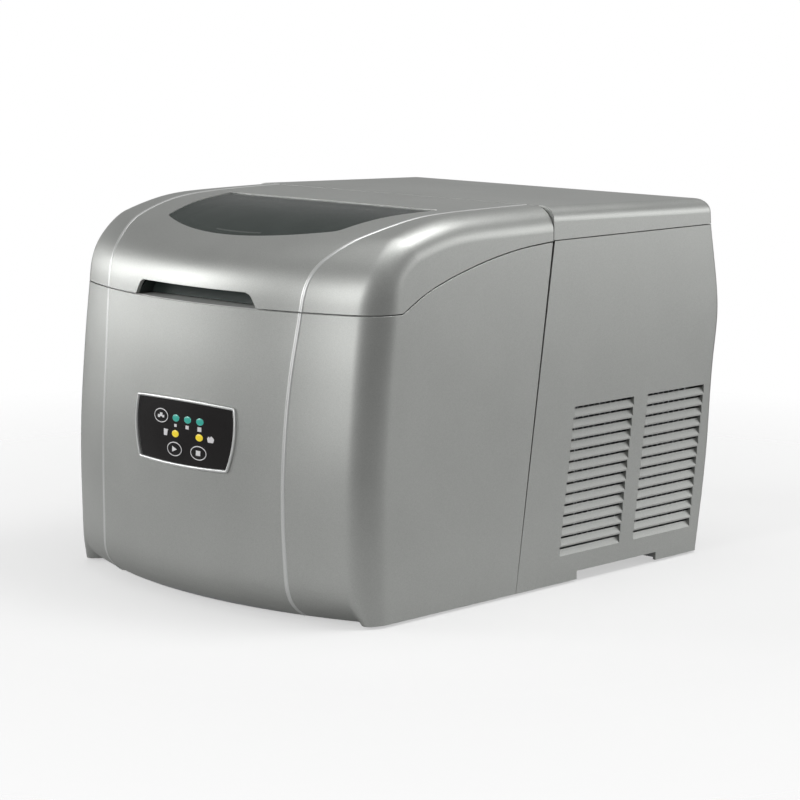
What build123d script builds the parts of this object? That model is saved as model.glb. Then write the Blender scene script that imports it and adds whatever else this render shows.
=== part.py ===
"""A countertop ice maker, as an assembly of separate pieces.

Millimetres, +Z up, front towards -Y.  The origin is on the surface the feet stand on,
under the middle of the machine.
"""
from build123d import *
from math import cos, radians, sin, sqrt
import os

# ---- driving dimensions -------------------------------------------------
HALF_W = 180.0           # half of the overall width
FRONT_Y = -234.0         # middle of the bowed front
REAR_Y = 234.0           # fullest point of the rear wall
EDGE_Z = 2.0             # lower edge of the housings, above the table
WALL = 3.0               # thickness of the moulded shells
BOW_R = 420.0            # plan radius of the bowed front
BOW_Y = FRONT_Y + BOW_R  # centre of that radius
SHOULDER_R = 28.0        # rounding between front, top and sides of the front half
REAR_R = 12.0            # rounding of the rear half's upper edges
UPRIGHT_R = 5.0          # rounding of its upright rear corners
SEAM = 0.8               # width of the visible joint lines
OPEN_BELOW = 2.2         # lowers the inner form a little, so that the shell has no floor

LID_SEAM_Z = 243.4       # joint between lid and front housing, along the front
LID_CORNER_Y = -156.5    # where that joint starts to climb along the side
LID_SIDE_MID = (-60.0, 279.0)
LID_SIDE_END = (16.0, 287.5)
HINGE_Y, HINGE_Z = 10.0, 309.7
BRACKET_X, BRACKET_W = 130.0, 8.0    # middle and width of each hinge bracket
PIN_R = 1.4
BARREL_R = 5.5           # rounded rear edge of the lid, about the hinge axis
COVER_Y = HINGE_Y + 6.2  # front edge of the rear top cover
COVER_Z = 287.5          # lower edge of the rear top cover
SPLIT_TOP = (17.0, 287.5)     # slanted joint between the housings: (y, z)
SPLIT_BOTTOM = (-27.5, 0.0)

TRIM_W, TRIM_H = 3.6, 0.5          # bright bead strips: width, height above the skin

PANEL_X, PANEL_Z = 5.5, 139.0        # middle of the control panel
KEYS_X = 13.0            # middle of its group of buttons and lamps
HANDLE_X = 4.5           # middle of the finger recess
PANEL_HALF_H = 26.0
BEZEL_W = 2.2
BUTTON_A, BUTTON_B = 9.4, 6.0      # half axes of the oval buttons
BUTTON_TRAVEL = 1.0
BOARD_Y, SWITCH_H = -221.0, 1.2      # front of the control board, height of its switches
KEY_PITCH = 14.1         # sideways step between lamps
SELECT_XZ = (KEYS_X - 32.3, 150.3)
START_XZ, STOP_XZ = (KEYS_X - KEY_PITCH, 125.3), (KEYS_X + KEY_PITCH, 125.3)
GREEN_XZ = [(KEYS_X - KEY_PITCH, 150.2), (KEYS_X, 150.2), (KEYS_X + KEY_PITCH, 150.2)]
YELLOW_XZ = [(KEYS_X - KEY_PITCH, 137.6), (KEYS_X + KEY_PITCH, 137.6)]
LAMP_A, LAMP_B = 4.3, 2.9

ROOM_X = 140.0           # inside of the ice compartment
ROOM_Y0, ROOM_Y1 = -176.0, 12.0
ROOM_Z = 72.0
LINER_T = 2.0
FOAM_T = 8.0
DECK_Z = 243.0           # top of the compartment's rim

TRAY_Y, TRAY_Z = -20.0, 203.0      # tilt axis of the water tray
TRAY_R, TRAY_T, TRAY_X = 27.0, 2.0, 108.0
FINGER_Y = -28.0
FINGER_COUNT = 9
FINGER_PITCH = 22.0
SHOVEL_Y, SHOVEL_Z = 2.0, 166.0
SHOVEL_R = 40.0
BASKET_X, BASKET_Y0, BASKET_Y1 = 124.0, -172.0, -66.0
BASKET_Z0, BASKET_Z1 = 96.0, 152.0

LOUVRE_ROWS, LOUVRE_PITCH, LOUVRE_LEN = 14, 8.92, 76.0
LOUVRE_H, LOUVRE_DEPTH = 7.6, 4.5
LOUVRE_Z = 24.6          # lower edge of the lowest louvre
LOUVRE_Y = (26.5, 120.5)           # front end of the lowest louvre of each column
LOUVRE_LEAN = 0.146      # how far the columns lean back per millimetre of height
RECESS_Y0, RECESS_Y1 = 48.0, 151.0  # carrying recess in each lower edge
RECESS_Z, RECESS_DEPTH = 9.0, 26.0

FAN_Y, FAN_Z, FAN_R = 125.0, 92.0, 50.0
COMPRESSOR_X, COMPRESSOR_Y, COMPRESSOR_R = -70.0, 118.0, 56.0
INLET_X, INLET_Z = -118.0, 46.0
DRAIN_X, DRAIN_Z = 112.0, 34.0
FOOT_XY = [(-140, -148), (140, -148), (-140, 182), (140, 182)]


# ---- small helpers ------------------------------------------------------
def block(x0, x1, y0, y1, z0, z1):
    """A box between two corners."""
    return Pos((x0 + x1) / 2, (y0 + y1) / 2, (z0 + z1) / 2) * Box(x1 - x0, y1 - y0, z1 - z0)


def rod_x(radius, x0, x1, y, z):
    """A round bar along X."""
    return Pos((x0 + x1) / 2, y, z) * Rot(0, 90, 0) * Cylinder(radius, x1 - x0)


def rod_y(radius, y0, y1, x, z):
    """A round bar along Y."""
    return Pos(x, (y0 + y1) / 2, z) * Rot(90, 0, 0) * Cylinder(radius, y1 - y0)


def rod_z(radius, z0, z1, x, y):
    """A round bar along Z."""
    return Pos(x, y, (z0 + z1) / 2) * Cylinder(radius, z1 - z0)


def side_prism(points, x0=-300.0, x1=300.0):
    """A polygon drawn in side view (y, z), carried across from x0 to x1."""
    face = Plane.YZ.offset(x0) * make_face(Polyline(*points, close=True))
    return extrude(face, x1 - x0, dir=(1, 0, 0))


def front_prism(face, y0=-260.0, y1=-150.0):
    """A face drawn in front view (x, z), carried from y0 to y1."""
    return extrude(Plane.XZ.offset(-y0) * face, y1 - y0, dir=(0, 1, 0))


def top_prism(face, z0, z1):
    """A face drawn in plan (x, y), carried from z0 to z1."""
    return extrude(Plane.XY.offset(z0) * face, z1 - z0)


def pair(shape):
    """A piece and its mirror image on the other side."""
    return [shape, mirror(shape, about=Plane.YZ)]


def pipe(points, radius, bore, bend):
    """A tube along straight runs joined by arcs."""
    path = FilletPolyline(*points, radius=bend)
    section = Plane(origin=path @ 0, z_dir=path % 0)
    tube = sweep(section * Circle(radius), path=path)
    if bore:
        tube -= sweep(section * Circle(bore), path=path)
    return tube


def save(name, *shapes):
    """Write one node: one solid, or a group of separate ones."""
    solids = [solid for shape in shapes for solid in shape.solids()]
    export_step(solids[0] if len(solids) == 1 else Compound(children=solids), f"parts/{name}.step")


# ---- the outer form -----------------------------------------------------
BOW_PROFILE = [(414.0, EDGE_Z), (419.0, 35.0), (420.0, 90.0), (415.4, 177.0), (408.0, 246.0),
               (382.0, 286.0), (318.0, 307.0), (236.0, 314.2), (110.0, 316.0)]
REAR_PROFILE = [(208.0, EDGE_Z), (212.0, 25.0), (222.0, 92.0), (229.5, 174.0), (REAR_Y, 211.0),
                (230.5, 245.0), (223.0, 286.0)]


def bow_edge(inset):
    """Half outline of the front and crown, (radius, z), moved inwards by inset."""
    curve = Spline(*BOW_PROFILE)
    if not inset:
        return BOW_PROFILE
    moved = []
    for radius, height in BOW_PROFILE:
        run = curve.tangent_at(curve.param_at_point((radius, height)))
        moved.append((radius - inset * run.Y, height + inset * run.X))
    return moved


def front_form(inset=0.0):
    """The front half of the body: bowed front and crown turned about one axis, cut by flat sides."""
    points = bow_edge(inset)
    low, high = points[0], points[-1]
    outline = [Spline(*points), Line(high, (0, high[1])), Line((0, high[1]), (0, low[1])),
               Line((0, low[1]), low)]
    turned = Pos(0, BOW_Y, 0) * revolve(Plane.XZ * make_face(Wire(outline)), Axis.Z, 360)
    half = HALF_W - inset
    rear = COVER_Y + 20
    body = turned & block(-half, half, rear - 500, rear, -50, 400)
    corners = [edge for edge in body.edges() if abs(abs((edge @ 0).X) - half) < 0.01
               and abs(abs((edge @ 1).X) - half) < 0.01
               and abs((edge @ 0).Y - (edge @ 1).Y) > 60 and abs((edge @ 0).Z - (edge @ 1).Z) > 60]
    return fillet(corners, SHOULDER_R - inset) - under_roll(inset)


def under_roll(inset):
    """What the roll under the front's lower edge takes away."""
    low, high = (400.0 - inset, EDGE_Z - 1), (418.2 - inset, 26.0)
    outline = [ThreePointArc(low, (412.0 - inset, 9.5), high), Line(high, (480, 26)), Line((480, 26), (480, 1)),
               Line((480, 1), low)]
    return Pos(0, BOW_Y, 0) * revolve(Plane.XZ * make_face(Wire(outline)), Axis.Z, 360)


def rear_form(inset=0.0):
    """The rear half: flat sides, a full rear wall that leans in at the bottom, a falling top."""
    top_rear, top_front = (221.0 - inset, 309.5 - inset), (-40.0, 316.6 - inset)
    rear = [(y - inset, z) for y, z in REAR_PROFILE]
    outline = [Spline(*rear), Line(rear[-1], top_rear), Line(top_rear, top_front),
               Line(top_front, (-40.0, EDGE_Z)), Line((-40.0, EDGE_Z), rear[0])]
    half = HALF_W - inset
    body = extrude(Plane.YZ.offset(-half) * make_face(Wire(outline)), 2 * half, dir=(1, 0, 0))
    upper = [edge for edge in body.edges() if abs(abs(edge.center().X) - half) < 0.01
             and edge.center().Z > 305 and abs((edge @ 0).Z - (edge @ 1).Z) < 10]
    upper += [edge for edge in body.edges() if abs(edge.center().X) < 0.01
              and abs(edge.center().Y - top_rear[0]) < 0.01 and edge.center().Z > 300]
    body = fillet(upper, REAR_R - inset)
    upright = [edge for edge in body.edges() if edge.center().Y > 190 and abs(abs(edge.center().X) - half) < 6
               and abs((edge @ 0).X - (edge @ 1).X) < 20 and abs((edge @ 0).Z - (edge @ 1).Z) > 4]
    return fillet(upright, max(UPRIGHT_R - inset, 0.8))


def skin(form, outer, inner):
    """The layer of a form between two depths."""
    return form(outer) - form(inner)


def split_y(height):
    """Where the slanted joint between the housings is, at a height."""
    (y1, z1), (y0, z0) = SPLIT_TOP, SPLIT_BOTTOM
    return y0 + (y1 - y0) * (height - z0) / (z1 - z0)


def lid_zone(gap):
    """Everything above the lid's lower joint line, raised by gap."""
    climb = ThreePointArc((LID_CORNER_Y, LID_SEAM_Z + gap), (LID_SIDE_MID[0], LID_SIDE_MID[1] + gap),
                          (LID_SIDE_END[0], LID_SIDE_END[1] + gap))
    corners = [(80, LID_SIDE_END[1] + gap), (80, 420), (-300, 420), (-300, LID_SEAM_Z + gap)]
    sides = [Line(climb @ 1, corners[0])]
    sides += [Line(a, b) for a, b in zip(corners, corners[1:])]
    sides.append(Line(corners[-1], climb @ 0))
    return extrude(Plane.YZ.offset(-300) * make_face(Wire([climb] + sides)), 600, dir=(1, 0, 0))


# ---- outlines -----------------------------------------------------------
def window_outline(shrink=0.0):
    """Plan of the lid's window: straight at the rear, bowed at the front."""
    rear_y, front_y, bow_y = -60.0 - shrink, -152.5 + shrink, -180.0 + shrink
    rear_x, front_x = 127.0 - shrink, 103.0 - shrink
    bow = ThreePointArc((-front_x, front_y), (0, bow_y), (front_x, front_y))
    face = make_face(Wire([bow, Line(bow @ 1, (rear_x, rear_y)), Line((rear_x, rear_y), (-rear_x, rear_y)),
                           Line((-rear_x, rear_y), bow @ 0)]))
    return fillet(face.vertices(), 9.0 - 0.5 * shrink)


def panel_outline(shrink=0.0):
    """Front view of the control panel: barrel-shaped, a little wider at the top."""
    top, bottom = PANEL_Z + PANEL_HALF_H - shrink, PANEL_Z - PANEL_HALF_H + shrink
    wide, narrow, waist = 58.4 - shrink, 53.2 - shrink, 60.6 - shrink
    upper = ThreePointArc((-wide, top), (0, top + 1.6), (wide, top))
    lower = ThreePointArc((narrow, bottom), (0, bottom - 1.2), (-narrow, bottom))
    right = ThreePointArc((wide, top), (waist, PANEL_Z + 3), (narrow, bottom))
    left = ThreePointArc((-narrow, bottom), (-waist, PANEL_Z + 3), (-wide, top))
    face = make_face(Wire([upper, right, lower, left]))
    return Pos(PANEL_X, 0) * fillet(face.vertices(), 6.0 - 0.5 * shrink)


def oval(centre, half_x, half_z):
    """An oval in front view."""
    return Pos(*centre) * Ellipse(half_x, half_z)


def panel_skin(face, outer, inner):
    """A piece with a given front outline that follows the bowed front."""
    return front_prism(face) & PANEL_LAYERS[outer] - PANEL_LAYERS[inner]


def bow_layer(inset):
    """A plain slab with the bow of the front, inset from it, for the control panel."""
    radius = BOW_R - 1.4 - inset
    return Pos(0, BOW_Y, PANEL_Z) * Cylinder(radius, 90)


PANEL_LAYERS = {inset: bow_layer(inset) for inset in (-0.6, -0.3, 0.1, 1.6, 2.2)}


# ---- housings -----------------------------------------------------------
def split_zone(gap, side):
    """Everything in front of (side -1) or behind (side 1) the slanted joint."""
    high, low = 330.0, -20.0
    edge = [(split_y(low) + side * gap / 2, low), (split_y(high) + side * gap / 2, high)]
    return side_prism(edge + [(side * 400, high), (side * 400, low)])


def make_trims(outer):
    """Bright bead strips on the lid and the front housing: the right-hand ones and their mirror images."""
    bead = front_form(-TRIM_H) - outer
    lid_line = Spline((116.0, -250), (117.5, -206), (127, -184), (138, -146), (145, -90), (149, 30))
    lid_trim = bead & top_prism(trace(lid_line, TRIM_W), LID_SEAM_Z + SEAM / 2, 330)
    lid_trim &= block(0, 300, -300, HINGE_Y, 200, 400)
    front_line = Spline((117.3, LID_SEAM_Z + 2), (113.0, 196), (110.8, 130), (111.0, 70), (114.0, -2))
    front_trim = bead & front_prism(trace(front_line, TRIM_W), -260, -150)
    front_trim &= block(0, 300, -300, 0, 8, LID_SEAM_Z - SEAM / 2)
    return {"lid_trim_right": lid_trim, "lid_trim_left": mirror(lid_trim, about=Plane.YZ),
            "housing_trim_right": front_trim, "housing_trim_left": mirror(front_trim, about=Plane.YZ)}


def make_front_housing(shell):
    """Bowed front and both front cheeks, with the control panel's pocket."""
    body = shell & split_zone(SEAM, -1)
    body -= lid_zone(-SEAM / 2)
    body -= front_prism(panel_outline(-0.1)) & bow_layer(-5) - PANEL_LAYERS[1.6]
    return body - front_prism(panel_outline(6.0))


def louvre(z, y, side):
    """One louvre: its slat leans inwards from the skin to a slit under its upper edge."""
    top = z + LOUVRE_H
    face = Plane.XZ * make_face(Polyline((HALF_W + 1, z), (HALF_W, z), (HALF_W - LOUVRE_DEPTH, top),
                                         (HALF_W + 1, top), close=True))
    slot = Pos(0, y + LOUVRE_LEN, 0) * extrude(face, LOUVRE_LEN)
    return slot if side > 0 else mirror(slot, about=Plane.YZ)


def side_louvres():
    """Two columns of louvres on both sides; the columns lean back with height."""
    slots = []
    for side in (-1, 1):
        for first_y in LOUVRE_Y:
            for row in range(LOUVRE_ROWS):
                rise = row * LOUVRE_PITCH
                slots.append(louvre(LOUVRE_Z + rise, first_y + LOUVRE_LEAN * rise, side))
    return slots


def back_vents():
    """Plain slots through the rear wall."""
    return [block(x - 52, x + 52, 190, 260, z, z + 3.4) for x in (-60, 60) for z in range(100, 172, 9)]


def make_rear_housing(shell):
    """Both rear sides and the back in one moulding."""
    body = shell & split_zone(SEAM, 1)
    body &= block(-300, 300, -60, 260, EDGE_Z, COVER_Z - SEAM / 2)
    body -= side_louvres()
    body -= back_vents()
    for side in (-1, 1):
        outer, inner = side * (HALF_W + 5), side * (HALF_W - RECESS_DEPTH)
        body -= block(min(outer, inner), max(outer, inner), RECESS_Y0, RECESS_Y1, -5, RECESS_Z)
    body -= block(INLET_X - 16, INLET_X + 16, 190, 250, INLET_Z - 13, INLET_Z + 13)
    body -= rod_y(9.0, 190, 250, DRAIN_X, DRAIN_Z)
    return body


def make_rear_top_cover(shell):
    """The fixed cover behind the lid, with an apron down to the compartment's rim."""
    body = shell & block(-300, 300, COVER_Y, 260, COVER_Z + SEAM / 2, 400)
    lower = rear_form(WALL + 0.4) & block(-300, 300, COVER_Y, COVER_Y + 2.4, DECK_Z + 0.4, 300)
    upper = rear_form(1.0) & block(-300, 300, COVER_Y, COVER_Y + 2.4, COVER_Z + 1, 400)
    return body + lower + upper - hinge_slots(0.3)


def make_recess_cups():
    """The finger recess inside each lower side edge."""
    x0, x1 = HALF_W - RECESS_DEPTH, HALF_W - WALL
    cup = block(x0 - 2, x1, RECESS_Y0 - 2, RECESS_Y1 + 2, 7.2, RECESS_Z + 2)
    cup -= block(x0, x1 + 5, RECESS_Y0, RECESS_Y1, 0, RECESS_Z)
    return cup & rear_form(WALL)


def make_base_tray():
    """The steel chassis that everything stands on."""
    low, high = 3.2, 6.8
    front = front_form(WALL + 0.5) & block(-300, 300, -300, 0, low, high)
    middle = block(-HALF_W + WALL + 0.5, HALF_W - WALL - 0.5, -10, 40, low, high)
    rear = block(-HALF_W + WALL + 1, HALF_W - WALL - 1, 40, 197, low, high)
    body = front + middle + rear
    inner = HALF_W - RECESS_DEPTH - 2.5
    for side in (-1, 1):
        body -= block(min(side * inner, side * 200), max(side * inner, side * 200),
                      RECESS_Y0 - 3, RECESS_Y1 + 3, 0, 10)
    return body


# ---- lid ----------------------------------------------------------------
def hinge_slots(extra=0.0):
    """Room in the lid's rear edge for the two hinge brackets."""
    half = BRACKET_W / 2 + extra
    slot = block(BRACKET_X - half, BRACKET_X + half, HINGE_Y - 4, COVER_Y + 6, HINGE_Z - 30, HINGE_Z + 3.1)
    return pair(slot)


def make_lid_shell(shell):
    """Crowned lid with a rounded rear edge that turns inside the cover's front edge."""
    rounded = [(HINGE_Y + BARREL_R * cos(radians(a)), HINGE_Z + BARREL_R * sin(radians(a)))
               for a in (0, 30, 60, 90)]
    swing = side_prism([(-300, 200), (HINGE_Y + BARREL_R, 200)] + rounded + [(HINGE_Y, 400), (-300, 400)])
    body = shell & lid_zone(SEAM / 2) & swing
    body -= top_prism(window_outline(), 200, 400)
    body -= front_prism(handle_outline(0.0), -300, -196)
    return body - hinge_slots(0.5)


def make_knuckles(inner):
    """Hinge knuckles under the lid's rear edge, on both sides of each bracket."""
    x0, x1 = BRACKET_X - 18, BRACKET_X + 18
    knuckle = block(x0, x1, HINGE_Y - 3.8, HINGE_Y + 3.8, HINGE_Z - 3.8, HINGE_Z + 6) & inner
    knuckle -= rod_x(PIN_R + 0.05, BRACKET_X - 30, BRACKET_X + 30, HINGE_Y, HINGE_Z)
    knuckle -= hinge_slots(0.5)
    return pair(knuckle)


def handle_outline(grow):
    """Front view of the finger recess in the lid's lower edge."""
    low, high = LID_SEAM_Z - 2, LID_SEAM_Z + 11.5 + grow
    wide, narrow = 73.5 + grow, 65.5 + grow
    return Pos(HANDLE_X, 0) * make_face(Polyline((-wide, low), (wide, low), (narrow, high), (-narrow, high),
                                                 close=True))


def make_handle_cup():
    """Dark pocket behind the finger recess: roof, back and ends."""
    cup = front_prism(handle_outline(1.6), -250, -198.0)
    cup -= front_prism(handle_outline(0.0), -260, -200.0)
    keep = front_form(WALL + 0.05) & block(-300, 300, -300, 0, LID_SEAM_Z + SEAM / 2, 300)
    return cup & keep


def make_window(layer):
    """Smoked window pane, let into its frame."""
    return layer & top_prism(window_outline(5.2), 200, 400)


def make_window_frame(layer):
    """Bevelled frame and gasket round the pane."""
    ring = top_prism(window_outline(0.1), 200, 400) - top_prism(window_outline(5.0), 200, 400)
    return layer & ring


def make_lid_inner_panel():
    """White inner lining of the lid, open under the window."""
    body = block(-160, 160, -188, -2, 247.4, 249.6)
    body = fillet(body.edges().filter_by(Axis.Z), 14)
    body -= top_prism(window_outline(14.0), 200, 300)
    wall = top_prism(window_outline(12.0), 249.0, 330) - top_prism(window_outline(14.0), 240, 340)
    return body + (wall & front_form(WALL + 1.7))


def make_lid_seal():
    """Rubber seal that meets the compartment's rim."""
    outer = fillet(block(-152, 152, -184, 2, 243.4, 247.4).edges().filter_by(Axis.Z), 12)
    inner = fillet(block(-147, 147, -181, -1, 243.0, 248).edges().filter_by(Axis.Z), 9)
    return (outer - inner) & block(-300, 300, -300, -2.2, 0, 300)


def make_lid_bosses():
    """Posts that tie the inner panel to the lid's skin."""
    posts = []
    for x, y in ((-150, -60), (150, -60), (-146, -120), (146, -120)):
        posts.append(rod_z(4.0, 249.6, 330, x, y))
    return posts


def make_hinge_brackets():
    """Two goose-neck brackets under the rear cover that carry the lid's pins."""
    x0, x1 = BRACKET_X - BRACKET_W / 2, BRACKET_X + BRACKET_W / 2
    plate = rod_x(2.7, x0, x1, HINGE_Y, HINGE_Z)
    neck = side_prism([(HINGE_Y - 2.5, HINGE_Z), (HINGE_Y + 2.5, HINGE_Z), (HINGE_Y + 2.5, HINGE_Z - 15),
                       (COVER_Y + 22, HINGE_Z - 15), (COVER_Y + 22, HINGE_Z - 20), (HINGE_Y - 2.5, HINGE_Z - 20)],
                      x0, x1)
    plate += neck
    plate -= rod_x(PIN_R, BRACKET_X - 30, BRACKET_X + 30, HINGE_Y, HINGE_Z)
    return pair(plate)


# ---- control panel ------------------------------------------------------
def make_control_panel():
    """Bezel, glossy overlay, three push buttons and five lamps."""
    ovals = {"select_button": SELECT_XZ, "start_button": START_XZ, "stop_button": STOP_XZ}
    pieces = {}
    pieces["panel_bezel"] = panel_skin(panel_outline() - panel_outline(BEZEL_W), -0.3, 1.6)
    overlay = panel_outline(BEZEL_W + 0.05)
    for centre in ovals.values():
        overlay -= oval(centre, BUTTON_A + 0.3, BUTTON_B + 0.3)
    for centre in GREEN_XZ + YELLOW_XZ:
        overlay -= oval(centre, LAMP_A, LAMP_B)
    pieces["panel_overlay"] = panel_skin(overlay, 0.1, 1.6)
    for name, centre in ovals.items():
        cap = panel_skin(oval(centre, BUTTON_A, BUTTON_B), -0.6, 2.2)
        cap_y = BOW_Y - sqrt((BOW_R - 1.4) ** 2 - centre[0] ** 2)
        stem_end = BOARD_Y - SWITCH_H - BUTTON_TRAVEL - 0.15
        pieces[name] = cap + rod_y(2.4, cap_y + 2.0, stem_end, centre[0], centre[1])
    for name, centres in (("green_lamps", GREEN_XZ), ("yellow_lamps", YELLOW_XZ)):
        pieces[name] = Part() + [panel_skin(oval(c, LAMP_A, LAMP_B), -0.3, 2.2) for c in centres]
    return pieces


def make_control_board():
    """Circuit board behind the panel, with a switch behind each button."""
    board = block(PANEL_X - 50, PANEL_X + 50, BOARD_Y, BOARD_Y + 1.6, PANEL_Z - 24, PANEL_Z + 24)
    for centre in (SELECT_XZ, START_XZ, STOP_XZ):
        board += rod_y(3.4, BOARD_Y - SWITCH_H, BOARD_Y, centre[0], centre[1])
    board += block(-20, 20, BOARD_Y + 1.6, BOARD_Y + 9, PANEL_Z - 18, PANEL_Z - 6)
    for x in (PANEL_X - 44, PANEL_X + 44):
        board -= rod_y(1.6, BOARD_Y - 5, BOARD_Y + 5, x, PANEL_Z + 20)
    return board


# ---- ice compartment ----------------------------------------------------
def make_liner():
    """Open white tub of the ice compartment, with the reservoir at its bottom."""
    t = LINER_T
    tub = block(-ROOM_X - t, ROOM_X + t, ROOM_Y0 - t, ROOM_Y1 + t, ROOM_Z - t, 240.4)
    tub -= block(-ROOM_X, ROOM_X, ROOM_Y0, ROOM_Y1, ROOM_Z, 300)
    for side in (-1, 1):
        tub += block(min(side * 128.6, side * ROOM_X), max(side * 128.6, side * ROOM_X), -165, -72, 145.0, 149.8)
        tub -= rod_x(4.06, min(side * 130, side * 150), max(side * 130, side * 150), TRAY_Y, TRAY_Z)
        tub -= rod_x(3.05, min(side * 130, side * 141), max(side * 130, side * 141), SHOVEL_Y, SHOVEL_Z)
    for x in (-70.0, 70.0):
        tub -= rod_y(3.2, 0, 40, x, 236.0)
    tub -= rod_x(3.1, -150, -130, TRAY_Y - 4, 236.6)
    tub -= rod_z(5.1, 60, 80, DRAIN_X, 0)
    tub -= rod_z(5.1, 60, 80, -100, -20)
    return tub


def make_insulation():
    """Foam jacket round the tub."""
    t = LINER_T
    outer = block(-ROOM_X - t - FOAM_T, ROOM_X + t + FOAM_T, ROOM_Y0 - t - FOAM_T, ROOM_Y1 + t + FOAM_T,
                  ROOM_Z - t - FOAM_T, 232.0)
    foam = outer - block(-ROOM_X - t, ROOM_X + t, ROOM_Y0 - t, ROOM_Y1 + t, ROOM_Z - t, 300)
    foam -= rod_x(8.05, -160, 0, TRAY_Y, TRAY_Z)
    foam -= rod_x(4.4, 0, 160, TRAY_Y, TRAY_Z)
    foam -= rod_z(5.4, 50, 80, DRAIN_X, 0)
    foam -= rod_z(5.4, 50, 80, -100, -20)
    return foam & block(-300, 300, -300, ROOM_Y1 + t + FOAM_T, 0, 232)


def make_deck():
    """Flat rim that fills the space between the tub and the housings."""
    deck = front_form(WALL + 0.3) & block(-300, 300, -300, COVER_Y - 0.4, DECK_Z - 2.6, DECK_Z)
    return deck - block(-ROOM_X, ROOM_X, ROOM_Y0, ROOM_Y1, 200, 300)


def make_basket():
    """Lift-out ice basket with slotted walls and floor and a rim to hang on."""
    t = 1.8
    body = block(-BASKET_X, BASKET_X, BASKET_Y0, BASKET_Y1, BASKET_Z0, BASKET_Z1)
    body -= block(-BASKET_X + t, BASKET_X - t, BASKET_Y0 + t, BASKET_Y1 - t, BASKET_Z0 + t, 200)
    rim = block(-BASKET_X - 7, BASKET_X + 7, BASKET_Y0 - 2, BASKET_Y1 + 2, 150.0, BASKET_Z1)
    body += rim - block(-BASKET_X + t, BASKET_X - t, BASKET_Y0 + t, BASKET_Y1 - t, 140, 200)
    slots = [block(x - 3, x + 3, BASKET_Y0 + 12, BASKET_Y1 - 12, BASKET_Z0 - 5, BASKET_Z0 + 10)
             for x in range(-108, 109, 18)]
    slots += [block(x - 3, x + 3, BASKET_Y0 - 5, BASKET_Y0 + 5, BASKET_Z0 + 12, BASKET_Z1 - 10)
              for x in range(-108, 109, 18)]
    return body - slots


def make_water_tray():
    """Half-round trough that tilts about its own axis to empty itself."""
    trough = rod_x(TRAY_R + TRAY_T, -TRAY_X, TRAY_X, TRAY_Y, TRAY_Z)
    trough -= rod_x(TRAY_R, -TRAY_X + 3, TRAY_X - 3, TRAY_Y, TRAY_Z)
    trough &= block(-200, 200, TRAY_Y - 50, TRAY_Y + 50, TRAY_Z - 50, TRAY_Z)
    for side in (-1, 1):
        hub = rod_x(8.0, min(side * 105, side * 111), max(side * 105, side * 111), TRAY_Y, TRAY_Z)
        shaft = rod_x(4.0, min(side * 110, side * 150), max(side * 110, side * 150), TRAY_Y, TRAY_Z)
        trough += hub + shaft
    return trough


def make_tray_bearing():
    """Bush that carries the tray's free end."""
    bush = rod_x(8.0, -150, -138.0 - LINER_T, TRAY_Y, TRAY_Z) - rod_x(4.06, -160, -130, TRAY_Y, TRAY_Z)
    return bush & block(-150, -142.0, -100, 100, 0, 300)


def make_tray_motor():
    """Geared motor that tilts the tray, outside the tub."""
    motor = block(150.4, 168, TRAY_Y - 22, TRAY_Y + 22, TRAY_Z - 26, TRAY_Z + 22)
    motor = fillet(motor.edges().filter_by(Axis.X), 5)
    return motor + rod_x(13, 168, 173, TRAY_Y, TRAY_Z - 10)


def make_shovel():
    """Comb that pushes the loose cubes into the basket."""
    comb = rod_x(4.0, -126, 126, SHOVEL_Y, SHOVEL_Z)
    comb += rod_x(3.0, -140, 140, SHOVEL_Y, SHOVEL_Z)
    comb += block(-124, 124, SHOVEL_Y - 1.0, SHOVEL_Y + 1.0, SHOVEL_Z - 14, SHOVEL_Z)
    for x in range(-117, 118, 18):
        comb += block(x - 5, x + 5, SHOVEL_Y - 1.0, SHOVEL_Y + 1.0, SHOVEL_Z - SHOVEL_R, SHOVEL_Z - 10)
    return comb


def make_chute():
    """Curved floor under the comb, which leads to the basket."""
    inner, outer = SHOVEL_R + 1.5, SHOVEL_R + 3.3
    ring = rod_x(outer, -138, 138, SHOVEL_Y, SHOVEL_Z) - rod_x(inner, -139, 139, SHOVEL_Y, SHOVEL_Z)
    reach = radians(28)
    sector = side_prism([(SHOVEL_Y, SHOVEL_Z), (SHOVEL_Y, SHOVEL_Z - 90),
                         (SHOVEL_Y - 120, SHOVEL_Z - 90), (SHOVEL_Y - 120, SHOVEL_Z - 120 * sin(reach))])
    lip_y, lip_z = SHOVEL_Y - inner * cos(reach), SHOVEL_Z - inner * sin(reach)
    lip = block(-138, 138, lip_y - 22, lip_y + 1, lip_z - 1.5, lip_z)
    return (ring & sector) + lip


def make_evaporator():
    """Cold plate and the hollow fingers that the ice freezes on."""
    plate = block(-104, 104, -44, -4, 233.4, 239.4)
    plate = fillet(plate.edges().filter_by(Axis.Z), 6)
    fingers = []
    for i in range(FINGER_COUNT):
        x = (i - (FINGER_COUNT - 1) / 2) * FINGER_PITCH
        fingers.append(rod_z(5.0, 186, 233.4, x, FINGER_Y) + Pos(x, FINGER_Y, 186) * Sphere(5.0))
    return plate, fingers


# ---- machinery ----------------------------------------------------------
def make_compressor():
    """Sealed compressor: deep-drawn shell on a foot plate."""
    x, y, r = COMPRESSOR_X, COMPRESSOR_Y, COMPRESSOR_R
    can = rod_z(r, 26, 128, x, y)
    can = fillet(can.edges().filter_by(GeomType.CIRCLE), 24)
    can += rod_z(r + 1.6, 76, 80, x, y)
    foot = block(x - 68, x + 68, y - 52, y + 52, 16, 19)
    for dx in (-58, 58):
        for dy in (-42, 42):
            foot -= rod_z(5.0, 0, 40, x + dx, y + dy)
    neck = rod_z(34, 19, 30, x, y)
    return can + foot + neck


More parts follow.
